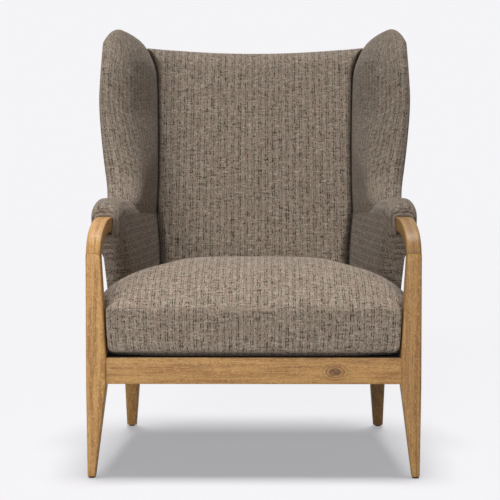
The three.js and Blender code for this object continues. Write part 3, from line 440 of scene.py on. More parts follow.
class Wire:
    """A node's output in an expression: the operators add Math nodes to its tree."""

    def __init__(self, nodes, socket):
        self.nodes, self.socket = nodes, socket

    def maths(self, operation, *values):
        return self.nodes.node("ShaderNodeMath", {"operation": operation}, dict(enumerate(values)))

    def __add__(self, other):
        return self.maths("ADD", self, other)

    def __radd__(self, other):
        return self.maths("ADD", other, self)

    def __sub__(self, other):
        return self.maths("SUBTRACT", self, other)

    def __rsub__(self, other):
        return self.maths("SUBTRACT", other, self)

    def __mul__(self, other):
        return self.maths("MULTIPLY", self, other)

    def __rmul__(self, other):
        return self.maths("MULTIPLY", other, self)

    def __pow__(self, other):
        return self.maths("POWER", self, other)

    def step(self, low, high):
        """A smooth step from 0 at low to 1 at high."""
        return self.nodes.node(
            "ShaderNodeMapRange", {"interpolation_type": "SMOOTHSTEP", "clamp": True},
            {"Value": self, "From Min": low, "From Max": high})

    def floor(self):
        return self.maths("FLOOR", self)

    def size(self):
        return self.maths("ABSOLUTE", self)

    def sine(self):
        return self.maths("SINE", self)


class Nodes:
    """The nodes of the world or of a material."""

    def __init__(self, owner):
        owner.use_nodes = True
        self.tree = owner.node_tree

    def put(self, socket, value):
        if isinstance(value, Wire):
            self.tree.links.new(value.socket, socket)
        elif not hasattr(value, "__len__"):
            socket.default_value = value
        elif len(value) == 3 and len(socket.default_value) == 4:
            socket.default_value = (*value, 1.0)
        else:
            socket.default_value = tuple(value)

    def node(self, kind, settings=None, values=None, output=0):
        made = self.tree.nodes.new(kind)
        for key, value in (settings or {}).items():
            setattr(made, key, value)
        for key, value in (values or {}).items():
            self.put(made.inputs[key], value)
        return Wire(self, made.outputs[output])

    def shown(self):
        """1 for the rays that show the background: in the camera, in gloss or through glass."""
        rays = [self.node("ShaderNodeLightPath", None, None, f"Is {kind} Ray")
                for kind in ("Camera", "Glossy", "Transmission")]
        either = rays[0].maths("MAXIMUM", rays[0], rays[1])
        return either.maths("MAXIMUM", either, rays[2])


class Paint(Nodes):
    """A material."""

    def __init__(self, name, **settings):
        self.material = bpy.data.materials.new(name)
        super().__init__(self.material)
        self.shader = self.tree.nodes["Principled BSDF"]
        self.set(**settings)

    def set(self, **values):
        for key, value in values.items():
            self.put(self.shader.inputs[key.replace("_", " ").title().replace("Ior", "IOR")], value)

    def blend(self, factor, first, second, kind="MIX"):
        return self.node("ShaderNodeMix", {"data_type": "RGBA", "blend_type": kind},
                         {"Factor": factor, 6: first, 7: second}, 2)

    def shaded(self, colour, shade):
        """The colour times a number."""
        return self.blend(1.0, colour, (shade, shade, shade), "MULTIPLY")

    def cloth(self):
        """The piece's own cloth coordinates in metres: across the ribs and along them."""
        return self.node("ShaderNodeUVMap", {"uv_map": "cloth"})

    def spot(self):
        """Object coordinates in metres."""
        return self.node("ShaderNodeTexCoord", None, None, "Object")

    def split(self, vector):
        return [self.node("ShaderNodeSeparateXYZ", None, {0: vector}, i) for i in range(3)]

    def joined(self, x=0.0, y=0.0, z=0.0):
        return self.node("ShaderNodeCombineXYZ", None, {0: x, 1: y, 2: z})

    def noise(self, vector, scale=1.0, detail=2.0, roughness=0.5, distortion=0.0):
        return self.node(
            "ShaderNodeTexNoise", None,
            {"Vector": vector, "Scale": scale, "Detail": detail, "Roughness": roughness,
             "Distortion": distortion})

    def chance(self, x, y=0.0):
        """A random number from 0 to 1 for each whole x and y."""
        return self.node("ShaderNodeTexWhiteNoise", {"noise_dimensions": "2D"},
                         {"Vector": self.joined(x, y)})

    def stretched(self, vector, x, y, z):
        return self.node(
            "ShaderNodeVectorMath", {"operation": "MULTIPLY"}, {0: vector, 1: (x, y, z)})

    def bump(self, height, distance, strength=1.0):
        self.set(normal=self.node(
            "ShaderNodeBump", None, {"Height": height, "Distance": distance, "Strength": strength}))


def dimmed(colour, by):
    return [part * by for part in colour]


# The tweed's long and short dashes and the step of its level threads
LONG_DASH, SHORT_DASH, THREAD_STEP = 0.016, 0.0036, 0.0026


def tweed(name, pitch, shade):
    """Woollen tweed: three ribs to a repeat, dark dashes along the lines between them, light
    and warm yarns, thin level threads and a slow drift of colour. The shade scales the whole
    colour: painted light and shade set for each piece."""
    c = colours()
    p = Paint(name, roughness=0.92, specular_ior_level=0.2, sheen_weight=0.12,
              sheen_roughness=0.5, sheen_tint=(0.8, 0.72, 0.64))
    uv = p.cloth()
    across, along, _ = p.split(uv)
    wander = (p.noise(uv, 30.0, 1.0) - 0.5) * 0.0012
    thread = (across + wander) * (6.0 / pitch)
    column = (thread * 1.4).floor()
    repeat = thread * (1.0 / 6.0)
    place = (repeat - repeat.floor()) * 6.0
    valley = (place - 4.5).size()
    groove = (1.55 - valley).step(0.0, 0.5) * (valley - 0.45).step(0.0, 0.5)
    ridge = (2.4 - (place - 1.5).size()).step(0.0, 1.6)
    luck = p.chance(column, 3.0)
    long_run = p.chance(column, (along * (1.0 / LONG_DASH) + luck * 9.0).floor())
    short_run = p.chance(column + 0.5, (along * (1.0 / SHORT_DASH) + luck * 17.0).floor())
    row = (along * (1.0 / THREAD_STEP) + (p.noise(uv, 45.0, 1.0) - 0.5) * 0.8).floor()
    weft = p.chance(row + 0.5, (across * 75.0 + p.chance(row, 11.0) * 7.0).floor())
    fuzz = p.noise(p.stretched(uv, 560.0, 190.0, 1.0), 1.0, 2.0, 0.7) - 0.5
    tone = (0.5 + (long_run - 0.5) * 0.34 + (short_run - 0.5) * 0.42 + fuzz * 0.78
            + (weft - 0.84).step(0.0, 0.06) * 0.22 - (0.12 - weft).step(0.0, 0.05) * 0.22
            - groove * 0.15 + ridge * 0.07 - groove * (0.4 - short_run).step(0.0, 0.1) * 0.3)
    warm = p.noise(p.stretched(uv, 120.0, 24.0, 1.0), 1.0, 2.0)
    ground = p.blend(warm.step(0.4, 0.64), c.tweed_ground, c.tweed_warm)
    ground = p.blend((tone - 0.5).step(0.0, 0.55), ground, c.tweed_light)
    ground = p.blend((0.5 - tone).step(0.0, 0.55), ground, c.tweed_dark)
    # Painted light and shade: the colour is scaled by the piece's shade.
    p.set(base_color=p.shaded(ground, shade))
    p.bump(tone, 0.0007, 0.6)
    return p.material


def tweed_shaded_copies(name, painted_shades):
    """The right and the left side's tweed in the back's pitch, each with its painted shade."""
    return {side: tweed(f"{name}_{side}", sizes().back_pitch, shade)
            for (side, _), shade in zip(SIDES, painted_shades)}


def oak(name, tone, knot=None):
    """Oiled oak: long streaks, fine pores as dashes and pale flecks along the grain; a knot
    pushes the streaks apart round itself. The tone scales the whole colour; where it is low it
    is painted shade."""
    c = colours()
    p = Paint(name, specular_ior_level=0.4)
    grain = p.node("ShaderNodeAttribute", {"attribute_name": "grain"}, None, "Vector")
    length, broad, deep = p.split(grain)
    knot_layers = []
    if knot:
        off_length, off_broad = length - knot[0], broad - knot[1]
        reach = ((off_length * 0.62) ** 2.0 + off_broad ** 2.0) ** 0.5
        push = 1.0 - reach.step(0.0, 0.034)
        broad = broad - off_broad * push * 0.85
        core = 1.0 - reach.step(0.005, 0.0115)
        rim = (reach * 1150.0).sine().step(0.0, 0.8) * (1.0 - reach.step(0.012, 0.021))
        crack = p.noise(p.joined(off_length, off_broad, 0.0), 190.0, 3.0, 0.7)
        knot_layers = [(push * 0.35, c.oak_dark), (rim * 0.6, c.oak_pore),
                       (core * (0.35 + crack.step(0.42, 0.54) * 0.65), c.oak_pore)]
    run = p.joined(length, broad, deep)
    slow = p.noise(p.stretched(run, 2.2, 16.0, 16.0), 1.0, 2.0, 0.5, 0.6)
    bent = p.joined(length, broad + (slow - 0.5) * 0.022, deep + (slow - 0.5) * 0.016)

    def figure(along, across, through, detail, roughness):
        return p.noise(p.stretched(bent, along, across, through), 1.0, detail, roughness)

    bands = figure(4.0, 110.0, 110.0, 3.0, 0.55)
    streaks = figure(9.0, 420.0, 420.0, 2.0, 0.6)
    pores = figure(110.0, 1500.0, 1500.0, 1.0, 0.5)
    flecks = figure(170.0, 380.0, 300.0, 2.0, 0.6)
    cloud = figure(30.0, 95.0, 95.0, 3.0, 0.65)
    pits = p.noise(p.stretched(grain, 26.0, 130.0, 130.0), 1.0, 2.0, 0.8)
    layers = [(bands.step(0.38, 0.66), c.oak_light),
              ((0.52 - bands).step(0.0, 0.18) * 0.5, c.oak_dark),
              ((0.5 - streaks).step(0.0, 0.16) * 0.42, c.oak_dark),
              ((cloud - 0.44).step(0.0, 0.24) * 0.4, c.oak_light),
              ((0.5 - cloud).step(0.0, 0.2) * 0.35, c.oak_dark),
              ((0.46 - flecks).step(0.0, 0.14) * 0.4, c.oak_dark),
              (flecks.step(0.53, 0.66) * 0.5, c.oak_fleck),
              (pores.step(0.6, 0.72) * 0.6, c.oak_pore),
              (pits.step(0.76, 0.82) * 0.6, c.oak_pore)]
    colour = c.oak_mid
    for factor, over in layers + knot_layers:
        colour = p.blend(factor, colour, over)
    p.set(base_color=p.shaded(colour, tone), roughness=0.42 + pores * 0.16)
    p.bump(streaks * 0.4 - pores.step(0.6, 0.72), 0.0003, 0.5)
    return p.material


def oak_shaded_copies(name, painted_shade_tones):
    """The right and the left side's oak; the right side's copy is darker as painted shade."""
    return {side: oak(f"{name}_{side}", tone) for (side, _), tone in zip(SIDES, painted_shade_tones)}


def plain_wood(name, colour):
    """Planed beech: faint streaks and short flecks."""
    p = Paint(name, roughness=0.6)
    spot = p.spot()
    streaks = p.noise(p.stretched(spot, 30.0, 30.0, 160.0), 1.0, 3.0, 0.6, 0.4)
    flecks = p.noise(p.stretched(spot, 500.0, 500.0, 90.0), 1.0, 1.0)
    tone = p.blend(streaks.step(0.35, 0.7), colour, dimmed(colour, 0.78))
    p.set(base_color=p.blend(flecks.step(0.6, 0.7) * 0.4, tone, dimmed(colour, 0.6)))
    p.bump(streaks, 0.0002)
    return p.material


def woven(name, colour):
    """Plain cloth: a fine crossing of threads."""
    p = Paint(name, roughness=0.9, specular_ior_level=0.15)
    spot = p.spot()
    x, y, z = p.split(spot)
    cross = ((x + z * 0.3) * 900.0).sine() * ((y + z) * 900.0).sine()
    fuzz = p.noise(spot, 420.0, 3.0)
    shade = p.blend(fuzz, colour, dimmed(colour, 1.9))
    p.set(base_color=p.blend(cross.step(-0.4, 0.8) * 0.45, shade, dimmed(colour, 0.45)))
    p.bump(cross + fuzz, 0.0003, 0.7)
    return p.material


def foam_material():
    """Foam: fine cells, darker in their hollows as painted shade."""
    p = Paint("foam", roughness=0.95)
    cells = p.noise(p.spot(), 900.0, 2.0, 0.7)
    tone = colours().foam
    # Painted shade: the colour is darker where the cells' bump sinks.
    p.set(base_color=p.blend(cells.step(0.35, 0.65), dimmed(tone, 0.75), tone))
    p.bump(cells, 0.0006)
    return p.material


def metal_material():
    """Plain metal with fine scuffs."""
    p = Paint("zip_metal", metallic=1.0)
    scuff = p.noise(p.stretched(p.spot(), 900.0, 900.0, 3000.0), 1.0, 2.0)
    tone = colours().metal
    p.set(base_color=p.blend(scuff, tone, dimmed(tone, 0.8)), roughness=0.28 + scuff * 0.2)
    return p.material


def plastic_material():
    """Moulded plastic with a fine unevenness."""
    p = Paint("glide_plastic", specular_ior_level=0.4)
    fine = p.noise(p.spot(), 1500.0, 2.0)
    tone = colours().glide
    p.set(base_color=p.blend(fine, tone, dimmed(tone, 1.5)), roughness=0.42 + fine * 0.15)
    return p.material


# Legs, arms, posts and rails

LEG_LEVELS = (FOOT, RAIL_LOW, RAIL_HIGH, LEG_TOP)
leg_inset = straight(LEG_LEVELS, (0.003, 0.0, 0.0, 0.0))
leg_width = straight(LEG_LEVELS, (0.018, 0.0455, 0.0455, 0.0325))
leg_depth = straight(LEG_LEVELS, (0.022, 0.046, 0.046, 0.038))


def levels(low, high, count, *kept):
    """Even levels from low to high, with another 0.6 mm inside each end and the kept ones."""
    return np.unique(np.concatenate([[low, low + 0.0006, high - 0.0006, high],
                                     np.linspace(low, high, count), kept]))


def end_lip(count, low, high):
    """How far each ring is drawn in: only the first and the last one are."""
    lip = np.zeros(count)
    lip[0], lip[-1] = low, high
    return lip


def upright(name, node, way, z, plan, outer, front, radii, lips, shift, wood):
    """Rounded rectangles at the levels z: the plan's width runs inwards from the outer face and
    its depth backwards from the front face."""
    width, depth = plan
    lip = end_lip(len(z), *lips)
    loop = rounded_loop(width - 2 * lip, depth - 2 * lip, radii)
    x = (outer - width / 2)[:, None] + loop[..., 0]
    y = (front + depth / 2)[:, None] + loop[..., 1]
    grain = stacked(z[:, None] + shift[0], x + shift[1], y)
    tube(name, mirrored(stacked(x, y, z[:, None]), way), grain=grain, nodes=(node,), slot="oak",
         material=wood)


def front_leg(side, way, wood):
    """A tapered leg, straight between the foot, the two rail levels and the joint with the
    arm, where its edges take over the arm's."""
    edge, ridge = sizes().leg_edge, sizes().arm_edge
    z = levels(FOOT, LEG_TOP, 30, RAIL_LOW, RAIL_HIGH)
    up = share(z, RAIL_HIGH, LEG_TOP)
    radii = (mix(edge, ridge, up), edge, mix(edge, ridge * 0.75, up), mix(edge, ridge, up))
    upright(f"leg_{side}", f"front_leg_{side}", way, z, (leg_width(z), leg_depth(z)),
            HALF - leg_inset(z), 0.0, radii, (0.0015, 0.0005), (0.4 * way, 0.2 * way), wood)


def back_post(side, way, wood):
    """Rear leg and back upright, straight between the post's levels."""
    z = levels(FOOT, POST_TOP, 40, RAIL_LOW, RAIL_HIGH, POST_BEND)
    upright(f"post_{side}", f"back_post_{side}", way, z, (post_width(z), post_depth(z)),
            HALF - post_inset(z), post_front(z), (sizes().leg_edge,) * 4, (0.0015, 0.0),
            (2.1 + 0.4 * way, 0.3 * way), wood)


def arm_rail(side, way, wood):
    """A bent arm: its top line and underside are quarter ellipses from the leg, then run level
    to the post; each ring lies across from one line to the other."""
    turn = np.concatenate([[0.0, 0.012], np.linspace(0.05, math.pi / 2, 22)])
    level = np.linspace(0.21, 0.68, 12)

    def line(start, reach, height):
        return (np.concatenate([start + reach * (1 - np.cos(turn)), level]),
                np.concatenate([mix(LEG_TOP, height, np.sin(turn)), 0 * level + height]))

    top_y, top_z = line(0.0, ARM_BEND, ARM_TOP)
    low_y, low_z = line(0.038, 0.15, ARM_LOW)
    mid_y, mid_z = (top_y + low_y) / 2, (top_z + low_z) / 2
    tall = np.hypot(top_y - low_y, top_z - low_z)
    up_y, up_z = (top_y - low_y) / tall, (top_z - low_z) / tall
    lip = end_lip(len(mid_y), 0.0005, 0.0)
    edge, width = sizes().arm_edge, arm_width(mid_y)
    radii = (edge * 1.2, edge * 0.75, edge, edge * 1.1)
    loop = rounded_loop(width - 2 * lip, tall - 2 * lip, radii)
    x = (arm_outer(mid_y) - width / 2)[:, None] + loop[..., 0]
    y = mid_y[:, None] + up_y[:, None] * loop[..., 1]
    z = mid_z[:, None] + up_z[:, None] * loop[..., 1]
    y[-1] = post_front(z[-1]) - FIT_GAP
    run = np.concatenate([[0.0], np.cumsum(np.hypot(np.diff(mid_y), np.diff(mid_z)))])
    grain = stacked(run[:, None] + 1.3 + 0.5 * way, loop[..., 0] + 0.6, loop[..., 1] + 0.2 * way)
    tube(f"arm_rail_{side}", mirrored(stacked(x, y, z), way), grain=grain,
         nodes=(f"arm_{side}",), slot="oak", material=wood)


def rail_outline(depth, edge):
    """A rail's section from its outer face: rounded edges, and a rebate for the deck cut 10 mm
    into the inner top edge down to 258.5 mm."""
    floor, step = 0.2585, depth - 0.01
    corners = np.array([(0.0, RAIL_LOW), (depth, RAIL_LOW), (depth, floor), (step, floor),
                        (step, RAIL_HIGH), (0.0, RAIL_HIGH)])
    round_by = np.array([edge, edge, edge / 3, edge / 3, edge / 3, edge])
    t = np.linspace(0.0, 1.0, 5)[None, :, None]

    def towards(other):
        way = other - corners
        near = corners + way / np.linalg.norm(way, axis=1, keepdims=True) * round_by[:, None]
        return near[:, None]

    first, last = towards(np.roll(corners, 1, axis=0)), towards(np.roll(corners, -1, axis=0))
    bend = (1 - t) ** 2 * first + 2 * t * (1 - t) * corners[:, None] + t * t * last
    return bend.reshape(-1, 2)


def rail(name, node, ends, place, wood):
    """A rail's section carried from end to end; place turns the run, the distance from the
    outer face and the height into the point and the grain there."""
    outline = rail_outline(0.024, sizes().rail_edge)
    rings, grain = place(np.linspace(*ends, 40)[:, None], outline[:, 0], outline[:, 1])
    tube(name, stacked(*rings), grain=stacked(*grain), nodes=(node,), slot="oak", material=wood)


def cross_rail(name, node, half, face, inward, shift, wood):
    """A rail from side to side, its outer face at y = face."""
    def place(run, off, z):
        y = face + inward * off
        return (run, y, z), (run, z + shift, y)

    rail(name, node, (-half, half), place, wood)


def side_rail_outer(y):
    return HALF - mix(0.0065, 0.0225, share(y, 0.046, REAR_LINE))


def side_rail(side, way, wood):
    """A rail from the front leg to the post."""
    def place(run, off, z):
        x = way * (side_rail_outer(run) - off)
        return (x, run, z), (run + 3.0, z + way * 0.9, x)

    rail(f"rail_{side}", f"side_rail_{side}", (0.046, 0.6345), place, wood)


def glide(name, x, y, plastic):
    """A turned glide: its profile of radius and height goes round the pin's axis."""
    profile = np.array([(0.0006, 0.0), (0.0066, 0.0), (0.0076, 0.0004), (0.008, 0.0012),
                        (0.008, 0.0034), (0.0074, 0.004), (0.0016, 0.0041), (0.0016, 0.019),
                        (0.0006, 0.02)])
    turn = np.linspace(0.0, 2 * math.pi, 33)[:-1]
    radius, height = profile[:, :1], profile[:, 1:]
    rings = stacked(x + radius * np.cos(turn), y + radius * np.sin(turn), height)
    tube(f"{name}_foot", rings, nodes=(name,), slot="glide_plastic", material=plastic)


# Wings

WING_LOW, WING_TALL = 0.6253, 0.45
WING_SHARES = (0.0, 0.16, 0.34, 0.55, 0.74, 0.85, 1.0)
wing_reach = flowing(WING_SHARES, (0.0, 0.17, 0.31, 0.43, 0.57, 0.74, 1.04))
wing_flare = flowing(WING_SHARES, (0.13, 0.49, 0.79, 1.0, 0.97, 0.93, 0.9))
PEAK, PEAK_ACROSS = 0.15, 0.25


def wing_front(z):
    """The front edge leans back as it climbs and runs out over the arm at its foot."""
    foot = share(0.7 - z, 0.0, 0.085) ** 2.5
    return 0.4 + 0.14 * wing_reach((z - PAD_TOP) / WING_TALL) - 0.045 * foot


def wing_outer(y, z):
    """The outer face flares forwards from the straight part over the post."""
    spread = 0.365 + 0.041 * wing_flare((z - PAD_TOP) / WING_TALL)
    flare = 1.0 - share(y, wing_front(z), back_face(z))
    return rear_outer(z) + (spread - rear_outer(z)) * flare ** 1.6


def wing_thick(y, z):
    """From the face of the side below to 68 mm at half height, and to the side's thickness at
    the back; near its foot the wing's inner face runs on from the side's."""
    base = wing_outer(wing_front(z), z) - inner_x(wing_front(z), PAD_TOP)
    front = mix(base, 0.068, share(z, PAD_TOP, PAD_TOP + WING_TALL / 2))
    at = share(y, wing_front(z), back_face(z))
    free = mix(front, side_thickness(z), at) + 0.006 * np.sin(math.pi * at)
    sunk = mix(-0.003, 0.001, share(z, 0.58, 0.61))
    return mix(free, wing_outer(y, z) - inner_x(y, z) + sunk, ease(share(0.76 - z, 0.0, 0.12)))


def wing_ridge(u):
    """The top line falls by a square in front of its peak and almost straight behind it."""
    front = np.clip(PEAK - u, 0.0, None) / PEAK
    rear = np.clip(u - PEAK, 0.0, None) / (1.0 - PEAK)
    return 1.0715 - 0.032 * front ** 2 - 0.031 * rear ** 1.1


def wing_place(u, v, w):
    """u from front to rear, v from the arm to the ridge, w from inner to outer face: the front
    edge and the ridge fall away in quarter ellipses towards both faces, and the foot sinks into
    the sleeve, lower on the inner face."""
    outside = w > 0
    drop = np.where(outside, 0.032 * round_drop(w), 0.088 * mix(round_drop(w), w * w, 0.4))
    roll = np.where(outside, 0.03, 0.044) * round_drop(w)
    low = 0.612 - 0.032 * np.clip(-w, 0.0, None) ** 1.5
    z = mix(low, wing_ridge(u) - drop, v)
    y = mix(wing_front(z) + roll, cloth_rear(z), u)
    across = mix(PEAK_ACROSS, np.sign(w), np.abs(w))
    return stacked(wing_outer(y, z) - wing_thick(y, z) * (1.0 - across) / 2, y, z)


def wing(side, way, cloth):
    """A padded wing: loops round its inner face, front and outer face climb to the top edge and
    then close over the ridge; the ribs follow the climbing lines."""
    depth = np.linspace(0.0, 1.0, 25) ** 1.25
    sweep = np.sin(np.linspace(-math.pi / 2, math.pi / 2, 29))[1:-1]
    u = np.concatenate([depth[::-1], 0 * sweep, depth])
    w = np.concatenate([-np.ones_like(depth), sweep, np.ones_like(depth)])
    v = np.linspace(0.0, 1.0, 58)
    middle = len(v) // 2 - 1
    wall = wing_place(u[:, None], v[None, :], w[:, None])
    rows = even_picks(steps_along(wall[:, middle], 0), 0.014)
    columns = even_picks(v, 0.032)
    turn = np.arange(len(u), dtype=float)
    wall += swollen(wall[rows][:, columns], turn[rows], v[columns],
                    sizes().pad_plump)(turn[:, None], v[None, :])
    close = np.cos(np.linspace(0.0, math.pi / 2, 15)[1:])[None, :]
    cap = wing_place(mix(np.maximum(u, PEAK)[:, None], u[:, None], close), 1.0, w[:, None] * close)
    skin = np.concatenate([wall, cap], axis=1)
    girth, climb = steps_along(wall[:, middle], 0), steps_along(skin, 1)
    uv = stacked(girth[:, None], climb).reshape(-1, 2)
    n, m = skin.shape[:2]
    ends, rise, last = np.arange(n // 2) * m, np.arange(m - 1), (n - 1) * m
    bottom = np.stack([ends[:-1], last - ends[:-1], last - ends[1:], ends[1:]], axis=1)
    rear = np.stack([rise, rise + 1, last + rise + 1, last + rise], axis=1)
    faces = np.concatenate([quads(n, m)[0], bottom, rear])
    obj = mesh_object(f"wing_{side}", mirrored(skin, way), faces, uv[faces.ravel()],
                      nodes=(f"wing_pad_{side}",), slot="tweed", material=cloth)


# Sides and outside panels


def side_outer(y, z):
    """Outer face of the side, stepping out just under the arm, straight to the post."""
    front = HALF - mix(0.0205, 0.0125, share(z, 0.4, 0.53))
    rear = HALF - post_inset(z) + 0.0035
    return mix(front, rear, share(y, PAD_FRONT, post_front(z)))


# The sleeve's front edge: how far back and how far over the wood its two rolls reach
SLEEVE_FOLD = np.array([
    (0.012, -0.002), (0.004, -0.002), (0.0015, 0.0002), (0.0003, 0.0018), (0.0, 0.0038),
    (0.0004, 0.0056), (0.0016, 0.0071), (0.0040, 0.0077), (0.0043, 0.0081), (0.0030, 0.0090),
    (0.0024, 0.0106), (0.0029, 0.0126), (0.0046, 0.0141), (0.0070, 0.0147), (0.0082, 0.0148)])


def side_cloth(side, way, cloth):
    """The padded side in one skin of rings from front to rear. The first rings fold out of the
    wood over two rolls, the next swell to the padded top; the lower edge then falls to the rail
    at 61 degrees, and the outer face steps in under the arm."""
    body = np.concatenate([[0.0078, 0.009, 0.011, 0.0135, 0.017, 0.022, 0.028, 0.036, 0.046],
                           np.linspace(0.058, 0.178, 13), np.linspace(0.194, 0.535, 20)])
    off = np.concatenate([SLEEVE_FOLD[:, 0], body])
    lap = np.concatenate([SLEEVE_FOLD[:, 1], np.full(len(body), 0.015)])
    puff = np.concatenate([np.zeros(len(SLEEVE_FOLD)), np.sqrt(share(body, 0.0072, 0.058))])
    y = PAD_FRONT + off
    top = mix(ARM_TOP + 1.15 * lap, PAD_TOP, puff)
    low = np.minimum(ARM_LOW - 0.6 * lap,
                     PAD_BOTTOM - np.clip(off - 0.012, 0.0, None) / SIDE_LEAN)
    low = np.maximum(low, RAIL_HIGH + FIT_GAP)
    wide = mix(0.3841, 0.3565, share(y, PAD_FRONT, 0.71))
    sleeve = mix(arm_outer(y) + 0.85 * lap, wide, puff)
    wood_inner = arm_outer(y) - arm_width(y) - 1.15 * lap
    width = sleeve - mix(wood_inner, inner_x(y, PAD_TOP), puff)
    height = top - low
    snug = np.maximum(0.005 + lap, 0.003)
    edge = mix(0.03, 0.004, share(off, 0.14, 0.19))
    low_radius = 0.5 * np.where(puff > 0, mix(snug * 0.6, edge, puff), snug * 0.6)
    radii = (mix(snug, 0.029, puff), mix(snug, 0.042, puff), low_radius, low_radius)
    bend, flat = 9, 30
    loop = rounded_loop(width, height, radii, bend, flat)
    z = (low + height / 2)[:, None] + loop[..., 1]
    step = mix(1.0, ease(share(z, 0.522, 0.552)), share(off, 0.01, 0.045)[:, None])
    outer = mix(side_outer(y[:, None], z), sleeve[:, None], step)
    edge_y = PAD_FRONT + 0.012 + SIDE_LEAN * (PAD_BOTTOM - z)
    rolled = 0.03 * round_drop(1.0 - share(y[:, None] - edge_y, 0.0, 0.08))
    rolled *= share(0.56 - z, 0.0, 0.06)
    inner = mix(wood_inner[:, None], inner_x(y[:, None], z) + rolled, puff[:, None])
    x = mix(outer, inner, 0.5 - loop[..., 0] / width[:, None])
    rear = share(off, 0.3, 0.535)[:, None] * (cloth_rear(z) - PAD_FRONT - 0.535)
    rings = stacked(x, y[:, None] + rear, z)
    loops = np.concatenate([rings, rings[:, :1]], axis=1)
    low_corner = 2 * (bend + 1 + flat) - 1
    foot, below = slice(low_corner, low_corner + 1), slice(low_corner, None)
    across = steps_along(loops, 1)
    across[:, below] = across[:, foot] + loops[:, foot, 2] - loops[:, below, 2]
    run = np.broadcast_to(steps_along(loops[:, 5], 0)[:, None], across.shape).copy()
    run[:, below] -= np.abs(loops[:, below, 0] - loops[:, foot, 0])
    obj = tube(f"side_{side}", mirrored(rings, way), uv=stacked(across, run),
               nodes=(f"arm_pad_{side}", f"side_pad_{side}"), slot="tweed", material=cloth,
               sharp=None)


def outside_panel(name, node, way, edge_place, count, cloth):
    """A thin covered panel on the outer face with a rounded rim."""
    us, vs = (np.unique(np.concatenate([np.linspace(0.0, 1.0, n), [0.006, 0.994]]))
              for n in count)

    def place(u, v, w):
        rim = np.minimum(np.minimum(u, 1 - u), np.minimum(v, 1 - v)) < 0.003
        outer, y, z = edge_place(u, v)
        x = mix(outer - 0.0025, outer + 0.0011 - 0.0009 * rim, w)
        return mirrored(stacked(x, y, z), way)

    obj = block_object(name, (us, vs, BOTH_FACES), place, laid(1, 2), nodes=(node,),
                       slot="tweed", material=cloth)


def outside_wing(side, way, cloth):
    """The panel on the wing, 35 to 40 mm inside its front edge and ridge."""
    def edge_place(u, v):
        z = mix(WING_LOW + 0.005, wing_ridge(u) - 0.04, v)
        y = mix(wing_front(z) + 0.035, post_rear(z) - 0.005, u)
        return wing_outer(y, z), y, z

    outside_panel(f"wing_panel_{side}", f"outside_wing_{side}", way, edge_place, (30, 30), cloth)


def outside_side(side, way, cloth):
    """The panel under the arm, 32 mm behind the side's front edge."""
    def edge_place(u, v):
        z = mix(RAIL_HIGH + 0.0053, PAD_BOTTOM - 0.0053, v)
        y = mix(side_edge(z) + 0.032, post_rear(z) - 0.005, u)
        return side_outer(y, z), y, z

    outside_panel(f"side_panel_{side}", f"outside_side_{side}", way, edge_place, (20, 16), cloth)


# Back


def inside_back(cloth):
    """The padded inside back: leaning face, top rolled over to the rear in a quarter ellipse,
    foot rolled back under the cushion, side edges turned back into the creases by the wings."""
    us = np.sin(np.linspace(-math.pi / 2, math.pi / 2, 91))
    vs = np.linspace(0.0, 1.0, 80)
    ws = np.sin(np.linspace(-math.pi / 2, math.pi / 2, 17))

    def place(u, v, w):
        drop = np.where(w > 0, 0.046, 0.012) * round_drop(w)
        top = 1.031 + 0.018 * u * u - drop - 0.014 * share(np.abs(u), 0.95, 1.0)
        z = mix(0.3, top, v)
        foot = 0.066 * round_drop(share(0.43 - z, 0.0, 0.13))
        open_share = round_drop(share(z, 0.953, 1.041))
        edge = corner_x(z) + 0.002 + (0.4 * side_thickness(z) + 0.009) * open_share
        below = share(0.61 - z, 0.0, 0.13)
        slot = mix(0.0085, 0.0105, below) * (1.0 - 0.5 * open_share)
        inset = edge * (1.0 - np.abs(u)) - slot
        crease = mix(0.042, 0.052, below) * share(-inset, 0.0, 0.003)
        turned = 1.0 - share(inset, 0.0, mix(0.012, 0.021, below))
        front = back_face(z) + foot + crease + mix(0.014, 0.034, below) * turned ** 2
        return stacked(u * edge, mix(cloth_rear(z), front, (w + 1) / 2), z)

    def weave(axis, end, spots):
        if axis == 2:
            return stacked(spots[..., 0], steps_along(spots, 1))
        if axis == 1:
            return stacked(spots[..., 0], 0.8 + steps_along(spots[:, ::-1], 1)[:, ::-1])
        return spots[..., 1:]

    plump = with_swell(place, np.linspace(-0.93, 0.93, 37), np.linspace(0.17, 0.96, 43),
                       sizes().pad_plump)
    obj = block_object("inside_back", (us, vs, ws), plump, weave, nodes=("back_pad",),
                       slot="tweed", material=cloth)


def outside_back_panel(cloth):
    """The covered panel that closes the back, 5 mm thick with a rounded rim and upper corners."""
    us = np.sin(np.linspace(-math.pi / 2, math.pi / 2, 61))
    vs = np.unique(np.concatenate([np.linspace(0.0, 1.0, 50), [0.003, 0.997]]))

    def place(u, v, w):
        corner = 0.035 * round_drop(share(np.abs(u), 0.86, 1.0))
        z = mix(0.262, 1.025 + 0.018 * u * u - corner, v)
        rim = (np.minimum(1 - np.abs(u), np.minimum(v, 1 - v)) < 0.0015) & (w > 0.9)
        y = post_rear(z) + FIT_GAP + 0.005 * w - 0.0016 * rim
        return stacked(u * rear_outer(z), y, z)

    obj = block_object("outside_back_cloth", (us, vs, np.array([0.0, 0.5, 1.0])), place,
                       laid(0, 2), nodes=("outside_back",), slot="tweed", material=cloth)


# Seat

SEAM_LOW, SEAM_HIGH = 0.281, 0.378
CUSHION_MIDDLE, CUSHION_REACH = 0.271, 0.269
ZIP_LEVEL, ZIP_HALF = 0.312, 0.1801


def cushion_half(y, z, eared=True):
    """Half the cushion's width: between the legs in front, stepping out just behind them, and
    between the sides further back."""
    front = HALF - leg_width(z) - 0.0015
    behind = np.minimum(0.3254, inner_x(y, z) - 0.0025)
    out, back_in = ease(share(y, 0.0465, 0.068)), ease(share(y, 0.15, 0.225))
    ear = eared * (0.3594 - front) * out * (1.0 - back_in)
    return mix(front, behind, ease(share(y, 0.15, side_edge(SEAM_HIGH)))) + ear


